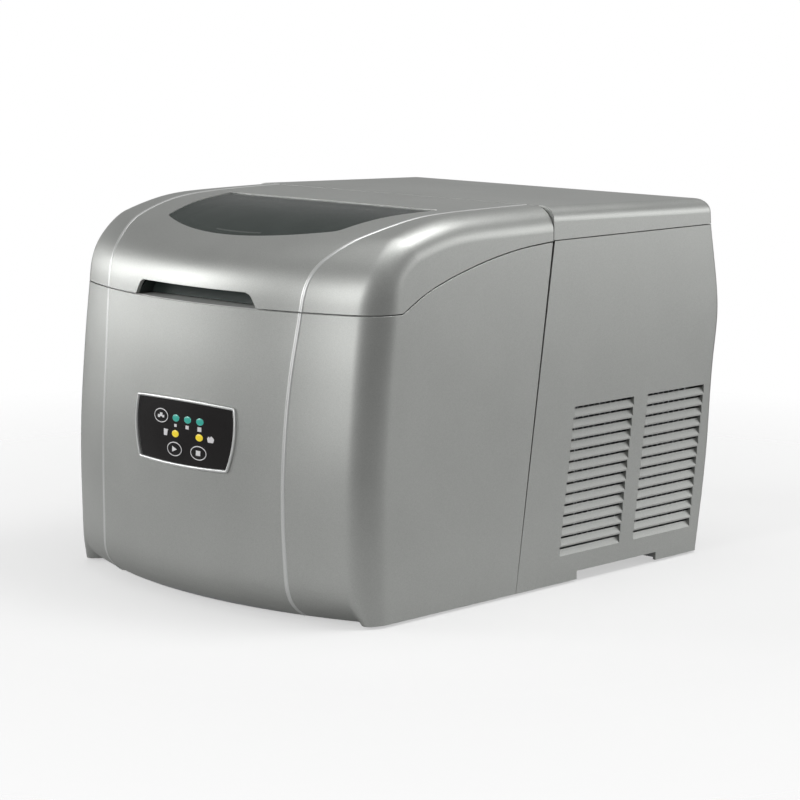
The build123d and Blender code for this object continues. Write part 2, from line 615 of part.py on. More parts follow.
def make_grommets():
    """Rubber mounts under the compressor's foot."""
    x, y = COMPRESSOR_X, COMPRESSOR_Y
    return [rod_z(9, 6.8, 16, x + dx, y + dy) for dx in (-58, 58) for dy in (-42, 42)]


def make_condenser():
    """Fin block with its tube rows, inside the right-hand louvres."""
    fins = [block(146, 170, y, y + 1.2, 34, 150) for y in range(58, 192, 7)]
    rows = [rod_y(4.0, 50, 200, 158, z) for z in range(46, 150, 23)]
    plates = [block(144, 172, 52, 54, 30, 154), block(144, 172, 196, 198, 30, 154)]
    return Part() + fins + rows + plates


def make_fan_shroud():
    """Plate and ring that lead the air through the condenser."""
    plate = block(139, 142, 50, 200, 20, 164)
    ring = rod_x(FAN_R + 6, 122, 139, FAN_Y, FAN_Z)
    foot = block(126, 142, 50, 200, 6.8, 20)
    return plate + ring + foot - rod_x(FAN_R + 3, 100, 150, FAN_Y, FAN_Z)


def make_fan_motor():
    """Small motor on a three-armed bracket."""
    motor = rod_x(16, 84, 108, FAN_Y, FAN_Z) + rod_x(2.5, 108, 124, FAN_Y, FAN_Z)
    for turn in (90, 210, 330):
        arm = block(102, 106, -4, 4, 14, FAN_R + 5)
        leg = block(102, 122, -4, 4, FAN_R + 3.2, FAN_R + 5.8)
        motor += Pos(0, FAN_Y, FAN_Z) * Rot(turn, 0, 0) * (arm + leg)
    return motor


def make_fan_rotor():
    """Five-bladed fan."""
    rotor = rod_x(14, 110, 124.5, FAN_Y, FAN_Z) - rod_x(2.55, 100, 124, FAN_Y, FAN_Z)
    for i in range(5):
        blade = Box(2.0, 22, FAN_R - 12)
        blade = Pos(117, FAN_Y, FAN_Z) * Rot(72 * i, 0, 0) * Pos(0, 0, 12 + (FAN_R - 12) / 2) * Rot(0, 0, 32) * blade
        rotor += blade
    return rotor & rod_x(FAN_R, 100, 130, FAN_Y, FAN_Z)


def make_refrigerant_tubes():
    """Hot gas, liquid and suction lines."""
    x, y = COMPRESSOR_X, COMPRESSOR_Y
    suction = pipe([(-70, 0, 236), (-70, 52, 236), (-70, 52, 180), (x - 20, y, 180), (x - 20, y, 128)],
                   3.0, 2.0, 9)
    feed = pipe([(70, 0, 236), (70, 60, 236), (70, 60, 204), (96, 60, 204)], 2.4, 1.5, 8)
    hot = pipe([(x + 20, y, 128), (x + 20, y, 172), (40, y, 172), (40, 204, 172), (158, 204, 172),
                (158, 204, 138), (158, 200.1, 138)], 2.4, 1.5, 3.5)
    return {"suction_tube": suction, "feed_tube": feed, "hot_gas_tube": hot}


def make_machinery():
    """The other parts of the refrigerating and water circuits."""
    pieces = {}
    drier = rod_x(9, 102, 132, 60, 204)
    pieces["filter_drier"] = fillet(drier.edges().filter_by(GeomType.CIRCLE), 4) + rod_x(4, 96, 136, 60, 204)
    pieces["hot_gas_valve"] = block(26, 50, 60, 84, 190, 216) + rod_z(5, 186, 228, 38, 72)
    pieces["power_board"] = block(-150, -60, 186, 188, 190, 262) + block(-140, -104, 168, 186, 204, 244)
    pump = rod_z(18, 30, 58, -100, -20) + rod_z(5, 58, 72, -100, -20) + block(-122, -78, -42, 2, 26, 30)
    pieces["water_pump"] = pump
    pieces["pump_hose"] = pipe([(-118.1, -20, 44), (-160, -20, 44), (-160, -24, 236.6), (-104, -24, 236.6)],
                               3.0, 2.0, 14)
    drain = pipe([(DRAIN_X, 0, 72), (DRAIN_X, 0, DRAIN_Z), (DRAIN_X, 205, DRAIN_Z)], 5.0, 3.5, 16)
    spout = rod_y(8.9, 202, 222, DRAIN_X, DRAIN_Z) - rod_y(6.0, 205, 230, DRAIN_X, DRAIN_Z)
    spout -= rod_y(3.5, 200, 210, DRAIN_X, DRAIN_Z)
    pieces["drain_tube"] = drain & block(-300, 300, -20, 202, 0, 80)
    pieces["drain_spout"] = spout
    cap = rod_y(11, 222.2, 227, DRAIN_X, DRAIN_Z) + rod_y(5.94, 206, 223, DRAIN_X, DRAIN_Z)
    pieces["drain_plug"] = fillet(cap.edges().filter_by(GeomType.CIRCLE).sort_by(Axis.Y)[-1], 1.5)
    inlet = block(INLET_X - 15.8, INLET_X + 15.8, 192, 216, INLET_Z - 12.8, INLET_Z + 12.8)
    inlet -= block(INLET_X - 12, INLET_X + 12, 198, 230, INLET_Z - 8, INLET_Z + 8)
    for dx, dz in ((-7, -2), (0, 3), (7, -2)):
        inlet += block(INLET_X + dx - 1, INLET_X + dx + 1, 196, 212, INLET_Z + dz - 2, INLET_Z + dz + 2)
    pieces["power_inlet"] = inlet
    pieces["ice_full_sensor"] = block(133, ROOM_X, -112, -92, 172, 190)
    pieces["float_stem"] = rod_z(2.5, ROOM_Z, 112, 104, -24) + rod_z(6, 110, 112, 104, -24)
    ring = rod_z(9, 76, 88, 104, -24) - rod_z(2.6, 70, 100, 104, -24)
    pieces["float_ring"] = ring
    return pieces


def make_feet():
    """Four rubber feet under the chassis."""
    feet = []
    for x, y in FOOT_XY:
        foot = rod_z(12, 0, 3.2, x, y)
        feet.append(chamfer(foot.edges().sort_by(Axis.Z)[0], 0.8))
    return feet


def main():
    """Build every node and write it."""
    os.makedirs("parts", exist_ok=True)
    outer, inner = front_form(), front_form(WALL)
    front_shell = outer - inner - Pos(0, 0, -OPEN_BELOW) * inner
    rear_shell = rear_form() - rear_form(WALL)
    nodes = make_trims(outer)
    nodes["front_housing"] = make_front_housing(front_shell)
    nodes["rear_housing"] = make_rear_housing(rear_shell)
    nodes["rear_top_cover"] = make_rear_top_cover(rear_shell)
    nodes["recess_cups"] = Part() + pair(make_recess_cups())
    nodes["base_tray"] = make_base_tray()
    nodes["rubber_feet"] = Part() + make_feet()
    nodes["lid_shell"] = make_lid_shell(front_shell)
    nodes["lid_knuckles"] = Part() + make_knuckles(front_form(WALL + 0.02))
    nodes["lid_handle_cup"] = make_handle_cup()
    frame_layer = skin(front_form, 0.5, WALL + 1.5)
    nodes["lid_window"] = make_window(skin(front_form, 1.2, WALL + 0.8))
    nodes["lid_window_frame"] = make_window_frame(frame_layer)
    nodes["lid_inner_panel"] = make_lid_inner_panel()
    nodes["lid_seal"] = make_lid_seal()
    nodes["lid_posts"] = Part() + [post & inner for post in make_lid_bosses()]
    nodes["hinge_brackets"] = Part() + make_hinge_brackets()
    nodes["hinge_pins"] = Part() + pair(rod_x(PIN_R, 111, 149, HINGE_Y, HINGE_Z))
    nodes.update(make_control_panel())
    nodes["control_board"] = make_control_board()
    nodes["compartment_liner"] = make_liner()
    nodes["liner_insulation"] = make_insulation()
    nodes["compartment_rim"] = make_deck()
    nodes["ice_basket"] = make_basket()
    nodes["water_tray"] = make_water_tray()
    nodes["tray_bearing"] = make_tray_bearing()
    nodes["tray_motor"] = make_tray_motor()
    nodes["ice_shovel"] = make_shovel()
    nodes["ice_chute"] = make_chute()
    plate, fingers = make_evaporator()
    nodes["evaporator_plate"] = plate
    nodes["evaporator_fingers"] = Part() + fingers
    nodes["compressor"] = make_compressor()
    nodes["compressor_grommets"] = Part() + make_grommets()
    nodes["condenser"] = make_condenser()
    nodes["fan_shroud"] = make_fan_shroud()
    nodes["fan_motor"] = make_fan_motor()
    nodes["fan_rotor"] = make_fan_rotor()
    nodes.update(make_refrigerant_tubes())
    nodes.update(make_machinery())
    for name, shape in nodes.items():
        save(name, shape)


if __name__ == "__main__":
    main()
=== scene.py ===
# %% [markdown]
# # The looks of a countertop ice maker
# The CAD model says where every piece is and how it moves. This script keeps it as a fixed frame and gives it
# its looks: smooth moulded shells, bright beads, a smoked window, a printed push-button panel, and finishes
# for every piece. All lengths are in metres, +Z is up, and the front faces -Y.

# %% Load the frame
from math import cos, pi, radians, sin, sqrt

import bmesh
import bpy
import numpy as np
from mathutils import Matrix, Vector


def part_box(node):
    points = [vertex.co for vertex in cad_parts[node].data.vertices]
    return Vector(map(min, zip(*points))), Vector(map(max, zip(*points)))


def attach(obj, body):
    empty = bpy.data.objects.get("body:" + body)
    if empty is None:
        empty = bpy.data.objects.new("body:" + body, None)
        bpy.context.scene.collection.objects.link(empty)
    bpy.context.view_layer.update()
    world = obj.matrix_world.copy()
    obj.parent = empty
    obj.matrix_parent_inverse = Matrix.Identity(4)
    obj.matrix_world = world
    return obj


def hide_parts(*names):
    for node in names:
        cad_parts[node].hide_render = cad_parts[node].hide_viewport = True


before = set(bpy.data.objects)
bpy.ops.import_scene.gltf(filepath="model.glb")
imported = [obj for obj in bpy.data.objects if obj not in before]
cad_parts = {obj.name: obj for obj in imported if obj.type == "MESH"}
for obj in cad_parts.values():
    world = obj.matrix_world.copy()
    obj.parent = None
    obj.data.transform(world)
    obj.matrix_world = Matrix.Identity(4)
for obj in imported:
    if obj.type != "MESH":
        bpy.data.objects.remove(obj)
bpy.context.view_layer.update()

MM = 0.001
low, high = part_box("front_housing")
HALF_W, FRONT_Y, EDGE_Z = high.x, low.y, low.z
LID_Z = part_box("lid_shell")[0].z            # lower edge of the lid, along the front
LID_REAR_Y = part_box("lid_shell")[1].y       # rounded rear edge of the lid
print("half width", round(HALF_W, 4), "front", round(FRONT_Y, 4), "lid seam", round(LID_Z, 4))

# %% [markdown]
# ## Writing shader maths as sums
# A node tree is easier to read as an expression. `Wire` wraps one output socket, and each operator on it adds
# the Math node that does the sum. `Finish` holds one material: `add` makes any other node from its type, the
# settings it needs first, and what goes into its sockets.

# %% A socket with operators
class Wire:
    """One output socket that can be added, scaled and compared."""

    def __init__(self, tree, socket):
        self.tree, self.socket = tree, socket

    def sum_with(self, operation, first, second):
        node = self.tree.nodes.new("ShaderNodeMath")
        node.operation = operation
        for slot, value in zip(node.inputs, (first, second)):
            if isinstance(value, Wire):
                self.tree.links.new(value.socket, slot)
            else:
                slot.default_value = value
        return Wire(self.tree, node.outputs[0])

    def __add__(self, other):
        return self.sum_with("ADD", self, other)

    def __radd__(self, other):
        return self.sum_with("ADD", other, self)

    def __sub__(self, other):
        return self.sum_with("SUBTRACT", self, other)

    def __rsub__(self, other):
        return self.sum_with("SUBTRACT", other, self)

    def __mul__(self, other):
        return self.sum_with("MULTIPLY", self, other)

    def __rmul__(self, other):
        return self.sum_with("MULTIPLY", other, self)


class Finish:
    """One material and the nodes behind its shader."""

    def __init__(self, name):
        self.material = bpy.data.materials.new(name)
        self.material.use_nodes = True
        self.tree = self.material.node_tree
        self.shader = self.tree.nodes["Principled BSDF"]

    def add(self, kind, settings=(), output=0, **sockets):
        """Any node: settings are set first, then sockets, named with _ for a space."""
        node = self.tree.nodes.new(kind)
        for key, value in dict(settings).items():
            if key == "stops":
                ramp = node.color_ramp.elements
                for index, (place, shade) in enumerate(value):
                    stop = ramp[index] if index < 2 else ramp.new(place)
                    stop.position, stop.color = place, (shade, shade, shade, 1)
            else:
                setattr(node, key, value)
        for key, value in sockets.items():
            self.feed(node.inputs[key.replace("_", " ")], value)
        return Wire(self.tree, node.outputs[output])

    def feed(self, slot, value):
        """Link a wire to a socket, or set its value."""
        if isinstance(value, Wire):
            self.tree.links.new(value.socket, slot)
        elif isinstance(value, tuple) and len(value) == 3 and slot.type == "RGBA":
            slot.default_value = value + (1.0,)
        else:
            slot.default_value = value

    def set(self, **sockets):
        """Set or link the shader's own sockets."""
        for key, value in sockets.items():
            self.feed(self.shader.inputs[key.replace("_", " ")], value)
        return self

    def place(self):
        """Where a point is on the object, in metres."""
        return self.add("ShaderNodeTexCoord", output=3)

    def noise(self, size, detail=2.0, rough=0.5):
        """Soft noise whose blobs are about size metres."""
        return self.add("ShaderNodeTexNoise", Vector=self.place(), Scale=1 / size, Detail=detail,
                        Roughness=rough)

    def blend(self, factor, first, second):
        """A colour between two colours."""
        node = self.tree.nodes.new("ShaderNodeMix")
        node.data_type = "RGBA"
        self.feed(node.inputs[0], factor)
        self.feed(node.inputs[6], first)
        self.feed(node.inputs[7], second)
        return Wire(self.tree, node.outputs[2])

    def bump(self, height, strength, distance):
        """Small relief."""
        return self.add("ShaderNodeBump", Height=height, Strength=strength, Distance=distance)


print("shader helpers ready")

# %% [markdown]
# ## The paint
# The housings are moulded plastic, sprayed with silver paint. Aluminium flakes about a third of a millimetre
# across lie at slightly different angles, so the paint sparkles faintly up close, and the spray leaves a very
# shallow orange peel. A cell texture gives each flake its own shade; soft noise does the peel and the
# cloudiness. An image of flakes would tile, and cells don't.

# %% Silver paint
def metal_paint(name, dark, light, roughness, metallic=0.85, flake=0.35):
    """Sprayed metallic paint between two shades."""
    paint = Finish(name)
    cells = paint.add("ShaderNodeTexVoronoi", {"feature": "F1"}, output=1, Vector=paint.place(),
                      Scale=1 / (flake * MM))
    flakes = paint.add("ShaderNodeSeparateColor", Color=cells)
    cloud = paint.noise(60 * MM)
    grain = paint.noise(1.1 * MM, detail=3.0)
    shade = flakes * 0.30 + grain * 0.45 + cloud * 0.25
    shine = cloud * 0.05 + flakes * 0.05 + (roughness - 0.05)
    peel = paint.bump(paint.noise(2.6 * MM, detail=1.0), 0.18, 0.05 * MM)
    paint.set(Base_Color=paint.blend(shade, dark, light), Roughness=shine, Metallic=metallic, Normal=peel)
    return paint.material


silver_paint = metal_paint("silver_paint", (0.40, 0.41, 0.395), (0.60, 0.61, 0.59), 0.44)
# Lighter silver for the beads and the panel's bezel. On the beads the lighter tone is partly painted
# highlight, for the light their crests catch.
light_trim_and_painted_highlight = metal_paint("light_trim_and_painted_highlight", (0.66, 0.67, 0.66), (0.79, 0.80, 0.79), 0.40, metallic=0.75)
print("paints:", silver_paint.name, light_trim_and_painted_highlight.name)

# %% [markdown]
# ## The plastics, rubber and metals
# Unpainted plastic carries the fine texture of its mould, so it gets a tiny bump and slight changes of
# roughness. Gloss plastic has almost none. Sheet steel shows fine rolling lines, which are noise stretched
# along one axis.

# %% Plastics
def plastic(name, dark, light, roughness, grain=0.5, relief=0.15):
    """Moulded plastic or rubber with a fine mould texture."""
    finish = Finish(name)
    cloud = finish.noise(35 * MM)
    texture = finish.noise(grain * MM, detail=2.0)
    finish.set(Base_Color=finish.blend(cloud * 0.6 + texture * 0.4, dark, light),
               Roughness=cloud * 0.08 + texture * 0.06 + (roughness - 0.07),
               Normal=finish.bump(texture, relief, 0.03 * MM))
    return finish.material


def metal(name, dark, light, roughness, stretch=(1.0, 1.0, 1.0), scratch=0.4):
    """Bare metal with fine lines along its least stretched axis."""
    finish = Finish(name)
    finer = tuple(1 / (scratch * MM) * s for s in stretch)
    lines_at = finish.add("ShaderNodeMapping", Vector=finish.place(), Scale=finer)
    lines = finish.add("ShaderNodeTexNoise", Vector=lines_at, Scale=1.0, Detail=3.0)
    finish.set(Base_Color=finish.blend(lines, dark, light), Roughness=lines * 0.2 + (roughness - 0.1),
               Metallic=1.0, Normal=finish.bump(lines, 0.2, 0.02 * MM))
    return finish.material


dark_plastic = plastic("dark_plastic", (0.028, 0.032, 0.031), (0.050, 0.055, 0.052), 0.45)
cup_plastic = plastic("cup_plastic", (0.030, 0.042, 0.038), (0.050, 0.066, 0.060), 0.40)
white_plastic = plastic("white_plastic", (0.70, 0.71, 0.69), (0.78, 0.79, 0.77), 0.38, grain=0.8)
grey_plastic = plastic("grey_plastic", (0.24, 0.25, 0.25), (0.30, 0.31, 0.31), 0.42)
panel_black = plastic("panel_black", (0.010, 0.009, 0.009), (0.016, 0.014, 0.014), 0.22, relief=0.03)
black_rubber = plastic("black_rubber", (0.020, 0.020, 0.020), (0.035, 0.035, 0.034), 0.75, relief=0.3)
grey_rubber = plastic("grey_rubber", (0.16, 0.17, 0.17), (0.22, 0.23, 0.23), 0.65, relief=0.3)
foam = plastic("foam", (0.62, 0.58, 0.46), (0.78, 0.74, 0.62), 0.85, grain=1.6, relief=0.8)
board_green = plastic("board_green", (0.010, 0.090, 0.035), (0.020, 0.130, 0.050), 0.35)
black_enamel = plastic("black_enamel", (0.012, 0.012, 0.012), (0.022, 0.022, 0.022), 0.25, relief=0.05)
zinc_steel = metal("zinc_steel", (0.45, 0.46, 0.47), (0.62, 0.63, 0.64), 0.40, stretch=(0.05, 1.0, 1.0))
nickel = metal("nickel", (0.62, 0.60, 0.55), (0.78, 0.76, 0.70), 0.22)
copper = metal("copper", (0.50, 0.24, 0.14), (0.72, 0.38, 0.24), 0.32)
fin_aluminium = metal("fin_aluminium", (0.60, 0.61, 0.62), (0.76, 0.77, 0.78), 0.38)
print("plastics and metals made")

# %% [markdown]
# ## Lamps, prints and the smoked pane
# The five lamps are small tinted lenses, so they get a clear coat and a faint light of their own. The signs
# on the panel are white ink. The pane is grey-green plastic two millimetres thick: a dark shader that is about
# a quarter transparent, so the inside shows only dimly.

# %% Lamps, ink and pane
def lens(name, colour, glow):
    """A tinted lamp lens with faint specks in its tint."""
    finish = Finish(name)
    speck = finish.noise(1.5 * MM)
    tint = finish.blend(speck, tuple(c * 0.8 for c in colour), colour)
    finish.set(Base_Color=tint, Roughness=speck * 0.1 + 0.2, Emission_Color=tint, Emission_Strength=glow,
               Coat_Weight=0.6)
    return finish.material


def smoked_pane():
    """Dark clear plastic with faint cloudiness."""
    finish = Finish("smoked_pane")
    haze = finish.noise(25 * MM)
    finish.set(Base_Color=finish.blend(haze, (0.030, 0.040, 0.036), (0.050, 0.062, 0.056)),
               Roughness=haze * 0.05 + 0.10, Alpha=haze * 0.06 + 0.72, Specular_IOR_Level=0.15)
    return finish.material


lamp_green = lens("lamp_green", (0.035, 0.33, 0.27), 0.5)
lamp_yellow = lens("lamp_yellow", (0.76, 0.58, 0.03), 0.5)
white_ink = plastic("white_ink", (0.74, 0.73, 0.74), (0.86, 0.85, 0.86), 0.45)
pane = smoked_pane()
print("lamps, ink and pane made")

# %% [markdown]
# ## Camera, floor and light
# The camera stands a little above the machine, 45 degrees round to its right, far away with a long lens. Six
# soft boxes light it like a catalogue shot: a narrow strip for the rounded corner, two on the left for the
# front, one for the right side, one behind for the crown, and one overhead. The floor is plain and pale.

# %% Camera
def add_camera():
    """The only camera."""
    data = bpy.data.cameras.new("camera")
    camera = bpy.data.objects.new("camera", data)
    bpy.context.scene.collection.objects.link(camera)
    across, up = Vector((0.7071, 0.7071, 0.0)), Vector((-0.1068, 0.1069, 0.9885))
    back = across.cross(up)
    turn = Matrix((across, up, back)).transposed()
    camera.matrix_world = Matrix.Translation((1.5821, -1.5624, 0.5002)) @ turn.to_4x4()
    data.sensor_width, data.lens = 36.0, 117.7
    data.shift_y = -0.0317
    bpy.context.scene.camera = camera


def add_soft_box(name, place, aim, size, power):
    """A rectangular area light, width by height, that looks at a point."""
    data = bpy.data.lights.new(name, "AREA")
    data.shape, data.size, data.size_y, data.energy = "RECTANGLE", size[0], size[1], power
    lamp = bpy.data.objects.new(name, data)
    bpy.context.scene.collection.objects.link(lamp)
    lamp.location = place
    lamp.rotation_euler = (Vector(aim) - Vector(place)).to_track_quat("-Z", "Y").to_euler()


def add_floor():
    """A pale round floor that fades into the backdrop."""
    size, turns = 1.5, 64
    ring = [(size * cos(2 * pi * k / turns), size * sin(2 * pi * k / turns), 0) for k in range(turns)]
    mesh = bpy.data.meshes.new("floor")
    mesh.from_pydata(ring, [], [tuple(range(turns))])
    floor = bpy.data.objects.new("floor", mesh)
    bpy.context.scene.collection.objects.link(floor)
    finish = Finish("floor")
    speck = finish.noise(0.4)
    reach = finish.add("ShaderNodeVectorMath", {"operation": "LENGTH"}, output=1, Vector=finish.place())
    fade = finish.add("ShaderNodeValToRGB", {"stops": ((0.45, 0.5), (1.0, 0))}, Fac=reach)
    finish.set(Base_Color=finish.blend(speck, (0.90, 0.90, 0.90), (0.93, 0.93, 0.93)), Roughness=0.9,
               Alpha=fade)
    mesh.materials.append(finish.material)


add_camera()
add_floor()
add_soft_box("corner_strip", (0.20, -2.35, 0.90), (0.12, -0.20, 0.18), (0.14, 1.2), 12)
add_soft_box("key_box", (-1.60, -1.55, 0.85), (0, -0.15, 0.18), (0.8, 0.7), 12)
add_soft_box("left_box", (-2.2, -0.7, 0.50), (0, -0.15, 0.18), (0.6, 0.6), 6)
add_soft_box("side_box", (1.75, 2.0, 0.62), (0.1, 0.1, 0.18), (1.8, 1.0), 13)
add_soft_box("crown_box", (0.75, 0.55, 2.0), (0.1, 0, 0.25), (0.7, 0.8), 14)
add_soft_box("overhead", (0.1, 0.1, 2.7), (0, 0, 0), (1.6, 1.6), 19)


def add_world():
    """A studio that is dim near the horizon and brighter overhead, in front of a white backdrop."""
    world = bpy.data.worlds.new("studio")
    bpy.context.scene.world = world
    world.use_nodes = True
    tree = world.node_tree
    room = tree.nodes["Background"]
    place = tree.nodes.new("ShaderNodeTexCoord")
    apart = tree.nodes.new("ShaderNodeSeparateXYZ")
    ramp = tree.nodes.new("ShaderNodeValToRGB")
    bands = ramp.color_ramp.elements
    bands.new(0.04)
    for band, (height, shade) in zip(bands, ((0.0, 0.14), (0.04, 0.30), (0.6, 0.26))):
        band.position, band.color = height, (shade, shade, shade, 1)
    tree.links.new(place.outputs["Generated"], apart.inputs[0])
    tree.links.new(apart.outputs["Z"], ramp.inputs[0])
    tree.links.new(ramp.outputs[0], room.inputs["Color"])
    backdrop = tree.nodes.new("ShaderNodeBackground")
    mix, path = tree.nodes.new("ShaderNodeMixShader"), tree.nodes.new("ShaderNodeLightPath")
    tree.links.new(path.outputs["Is Camera Ray"], mix.inputs[0])
    tree.links.new(room.outputs[0], mix.inputs[1])
    tree.links.new(backdrop.outputs[0], mix.inputs[2])
    tree.links.new(mix.outputs[0], tree.nodes["World Output"].inputs[0])
    backdrop.inputs["Color"].default_value = (1, 1, 1, 1)


add_world()
bpy.context.scene.view_settings.view_transform = "Standard"
print("camera, floor and lights placed")

# %% [markdown]
# ## Building meshes from grids
# Most shells are sheets, so they start as a grid of points, one row after another. A Solidify modifier gives
# the sheet its wall, and a Bevel modifier breaks the sharp rims, so that the seams catch the light.

# %% Mesh helpers
def show(name, verts, faces, material, body, node=None, smooth=True):
    """Make one piece, let it ride on a body and stand for a CAD node."""
    mesh = bpy.data.meshes.new(name)
    mesh.from_pydata([tuple(v) for v in verts], [], faces)
    mesh.update()
    piece = bpy.data.objects.new(name, mesh)
    bpy.context.scene.collection.objects.link(piece)
    mesh.materials.append(material)
    if smooth:
        for polygon in mesh.polygons:
            polygon.use_smooth = True
    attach(piece, body)
    if node:
        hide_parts(*([node] if isinstance(node, str) else node))
    return piece


def grid_faces(rows, columns):
    """Quads of a grid whose points run along each row."""
    return [(r * columns + c, r * columns + c + 1, (r + 1) * columns + c + 1, (r + 1) * columns + c)
            for r in range(rows - 1) for c in range(columns - 1)]


def thicken(piece, wall, rim):
    """Give a sheet its wall, on its inner side, and soften its rims."""
    solid = piece.modifiers.new("wall", "SOLIDIFY")
    solid.thickness, solid.offset, solid.use_even_offset = wall, -1, True
    soften(piece, rim)


def soften(piece, width, angle=40):
    """Round the sharp edges a little."""
    bevel = piece.modifiers.new("rims", "BEVEL")
    bevel.width, bevel.segments, bevel.limit_method = width, 2, "ANGLE"
    bevel.angle_limit, bevel.harden_normals = radians(angle), True


def smooth_line(points, count):
    """A natural cubic spline through points, as count points evenly spaced along it."""
    points = np.array(points, float)
    knots = np.concatenate([[0], np.cumsum(np.linalg.norm(np.diff(points, axis=0), axis=1))])
    gap, total = np.diff(knots), len(points)
    system, right = np.eye(total), np.zeros((total, points.shape[1]))
    for i in range(1, total - 1):
        system[i, i - 1:i + 2] = gap[i - 1], 2 * (gap[i - 1] + gap[i]), gap[i]
        right[i] = 6 * ((points[i + 1] - points[i]) / gap[i] - (points[i] - points[i - 1]) / gap[i - 1])
    bend = np.linalg.solve(system, right)
    at = np.linspace(0, knots[-1], 4000)
    i = np.clip(np.searchsorted(knots, at) - 1, 0, total - 2)
    a, b, h = (knots[i + 1] - at)[:, None], (at - knots[i])[:, None], gap[i][:, None]
    fine = (bend[i] * a ** 3 + bend[i + 1] * b ** 3) / (6 * h)
    fine += (points[i] / h - bend[i] * h / 6) * a + (points[i + 1] / h - bend[i + 1] * h / 6) * b
    along = np.concatenate([[0], np.cumsum(np.linalg.norm(np.diff(fine, axis=0), axis=1))])
    even = np.linspace(0, along[-1], count)
    return np.stack([np.interp(even, along, fine[:, k]) for k in range(points.shape[1])], axis=1)


print("mesh helpers ready")

# %% [markdown]
# ## The form of the front half
# The front and the crown of the lid are one surface, turned about an upright axis well behind the front, so
# the front bows evenly. The crown's corners are lifted a few millimetres above it, because a turned crown
# falls away too much there. Flat sides cut the form, and a rolling ball rounds the edge between them. The
# ball's centre lies where the surface and the side, both moved in by the ball's radius, meet. That gives
# smooth shading, where a fillet on a coarse mesh would ripple. Last, the foot of the front is tucked under.

# %% Profile and rolling ball
BOW_R = 0.420
BOW_Y = FRONT_Y + BOW_R
PROFILE = [(0.4190, EDGE_Z), (0.4194, 0.046), (0.4200, 0.085), (0.4189, 0.131), (0.4154, 0.177),
           (0.4125, 0.207), (0.4083, 0.2434), (0.4055, 0.2610), (0.3975, 0.2768), (0.3790, 0.2889),
           (0.3500, 0.2990), (0.3120, 0.3083), (0.2630, 0.3132), (0.1900, 0.3149), (0.1200, 0.3152)]
STATIONS = 900
SHOULDER_R, CORNER_R = 20.5 * MM, 31 * MM       # ball on the lid's shoulder and on the front corner
LIFT, LIFT_X = 8.5 * MM, 0.155                  # rise of the crown's corners, reached at this width
CROWN_TOP = 0.3151                              # a lifted corner never stands above this
TUCK, TUCK_TOP = 21 * MM, 0.048                 # how far the foot rolls under, and from what height
profile = smooth_line(PROFILE, STATIONS)
run = np.gradient(profile, axis=0)
run /= np.linalg.norm(run, axis=1)[:, None]
turning = np.unwrap(np.arctan2(run[:, 1], run[:, 0]))
step = np.linalg.norm(profile[1] - profile[0])
tightest = 1 / np.abs(np.gradient(turning) / step).max()


def ball_radius(height):
    """Corner radius: wide on the front corner, tighter on the shoulder."""
    front = np.clip((0.300 - height) / 0.055, 0, 1)
    return SHOULDER_R + (CORNER_R - SHOULDER_R) * front * front * (3 - 2 * front)


def corner_lift(radius, height):
    """How much the crown's corners stand above a turned surface."""
    rise = np.clip((0.4075 - radius) / 0.038, 0, 1)
    rise = LIFT * rise * rise * (3 - 2 * rise) + 1e-6
    room = np.maximum(CROWN_TOP - height, 1e-6) * 0.8
    return (rise ** -4 + room ** -4) ** -0.25


lift_of = corner_lift(profile[:, 0], profile[:, 1])
under_of = TUCK * np.clip((TUCK_TOP - profile[:, 1]) / (TUCK_TOP - EDGE_Z), 0, 1) ** 4.3


def body_point(station, x):
    """Point of the front form at a station (0 to STATIONS - 1, may be fractional) and a width x."""
    index = np.arange(STATIONS)
    radius, height, lift = (np.interp(station, index, values) for values in
                            (profile[:, 0], profile[:, 1], lift_of))
    y = BOW_Y - np.sqrt(np.maximum(radius ** 2 - x ** 2, 1e-9))
    return np.stack([x + 0 * y, y, height + lift * (x / LIFT_X) ** 2], axis=-1)


def body_normal(station, x):
    """Outward normal, from two small steps on the surface."""
    station = np.clip(station, 0.5, STATIONS - 1.5)
    up = body_point(station + 0.5, x) - body_point(station - 0.5, x)
    along = body_point(station, x + 0.05 * MM) - body_point(station, x - 0.05 * MM)
    normal = np.cross(along, up)
    return normal / np.linalg.norm(normal, axis=-1)[..., None]


def front_form(across, corner):
    """Points [station, column] from the middle (x = 0) over the rounded edge to the side plane.

    touch is the width at which the ball meets the front surface, smoothed along the stations.
    """
    stations = np.arange(STATIONS, dtype=float)
    reach = np.minimum(HALF_W, profile[:, 0] * 0.97)
    x = np.linspace(0, 1, 300)[None, :] * reach[:, None]
    grid_s = np.repeat(stations[:, None], x.shape[1], axis=1)
    ball = ball_radius(profile[:, 1])[:, None]
    inner_x = x - ball * body_normal(grid_s, x)[..., 0]
    touch = np.array([np.interp(HALF_W - ball[i, 0], inner_x[i], x[i]) for i in range(STATIONS)])
    kernel = np.hanning(41) / np.hanning(41).sum()
    touch = np.convolve(np.pad(touch, 20, "edge"), kernel, "valid")
    tuck = under_of[:, None] * (0, 1, 0)
    edge, normal = body_point(stations, touch), body_normal(stations, touch)
    centre = edge - ball * normal
    columns = [body_point(stations, touch * share) + tuck for share in across]
    side = np.array([1.0, 0.0, 0.0])
    between = np.arccos(np.clip(normal @ side, -1, 1))[:, None]
    for share in corner:
        ray = (np.sin((1 - share) * between) * normal + np.sin(share * between) * side) / np.sin(between)
        point = centre + ray * ball
        point[:, 0] += (HALF_W - ball[:, 0] - centre[:, 0]) * share
        columns.append(point + tuck * (1 - share) ** 4)
    return np.stack(columns, axis=1)


ACROSS = np.linspace(0, 1, 56)
CORNER = np.linspace(0, 1, 19)[1:]
form = front_form(ACROSS, CORNER)
print("tightest bend %.1f mm, form top %.4f" % (tightest / MM, form[..., 2].max()))

# %% [markdown]
# ## Cutting the form along its seams
# The lid and the front housing are two parts of the same form. Every column of points is cut exactly at its
# seam, then divided again into even steps, so that the seam is a clean row of the grid and not a ragged edge.

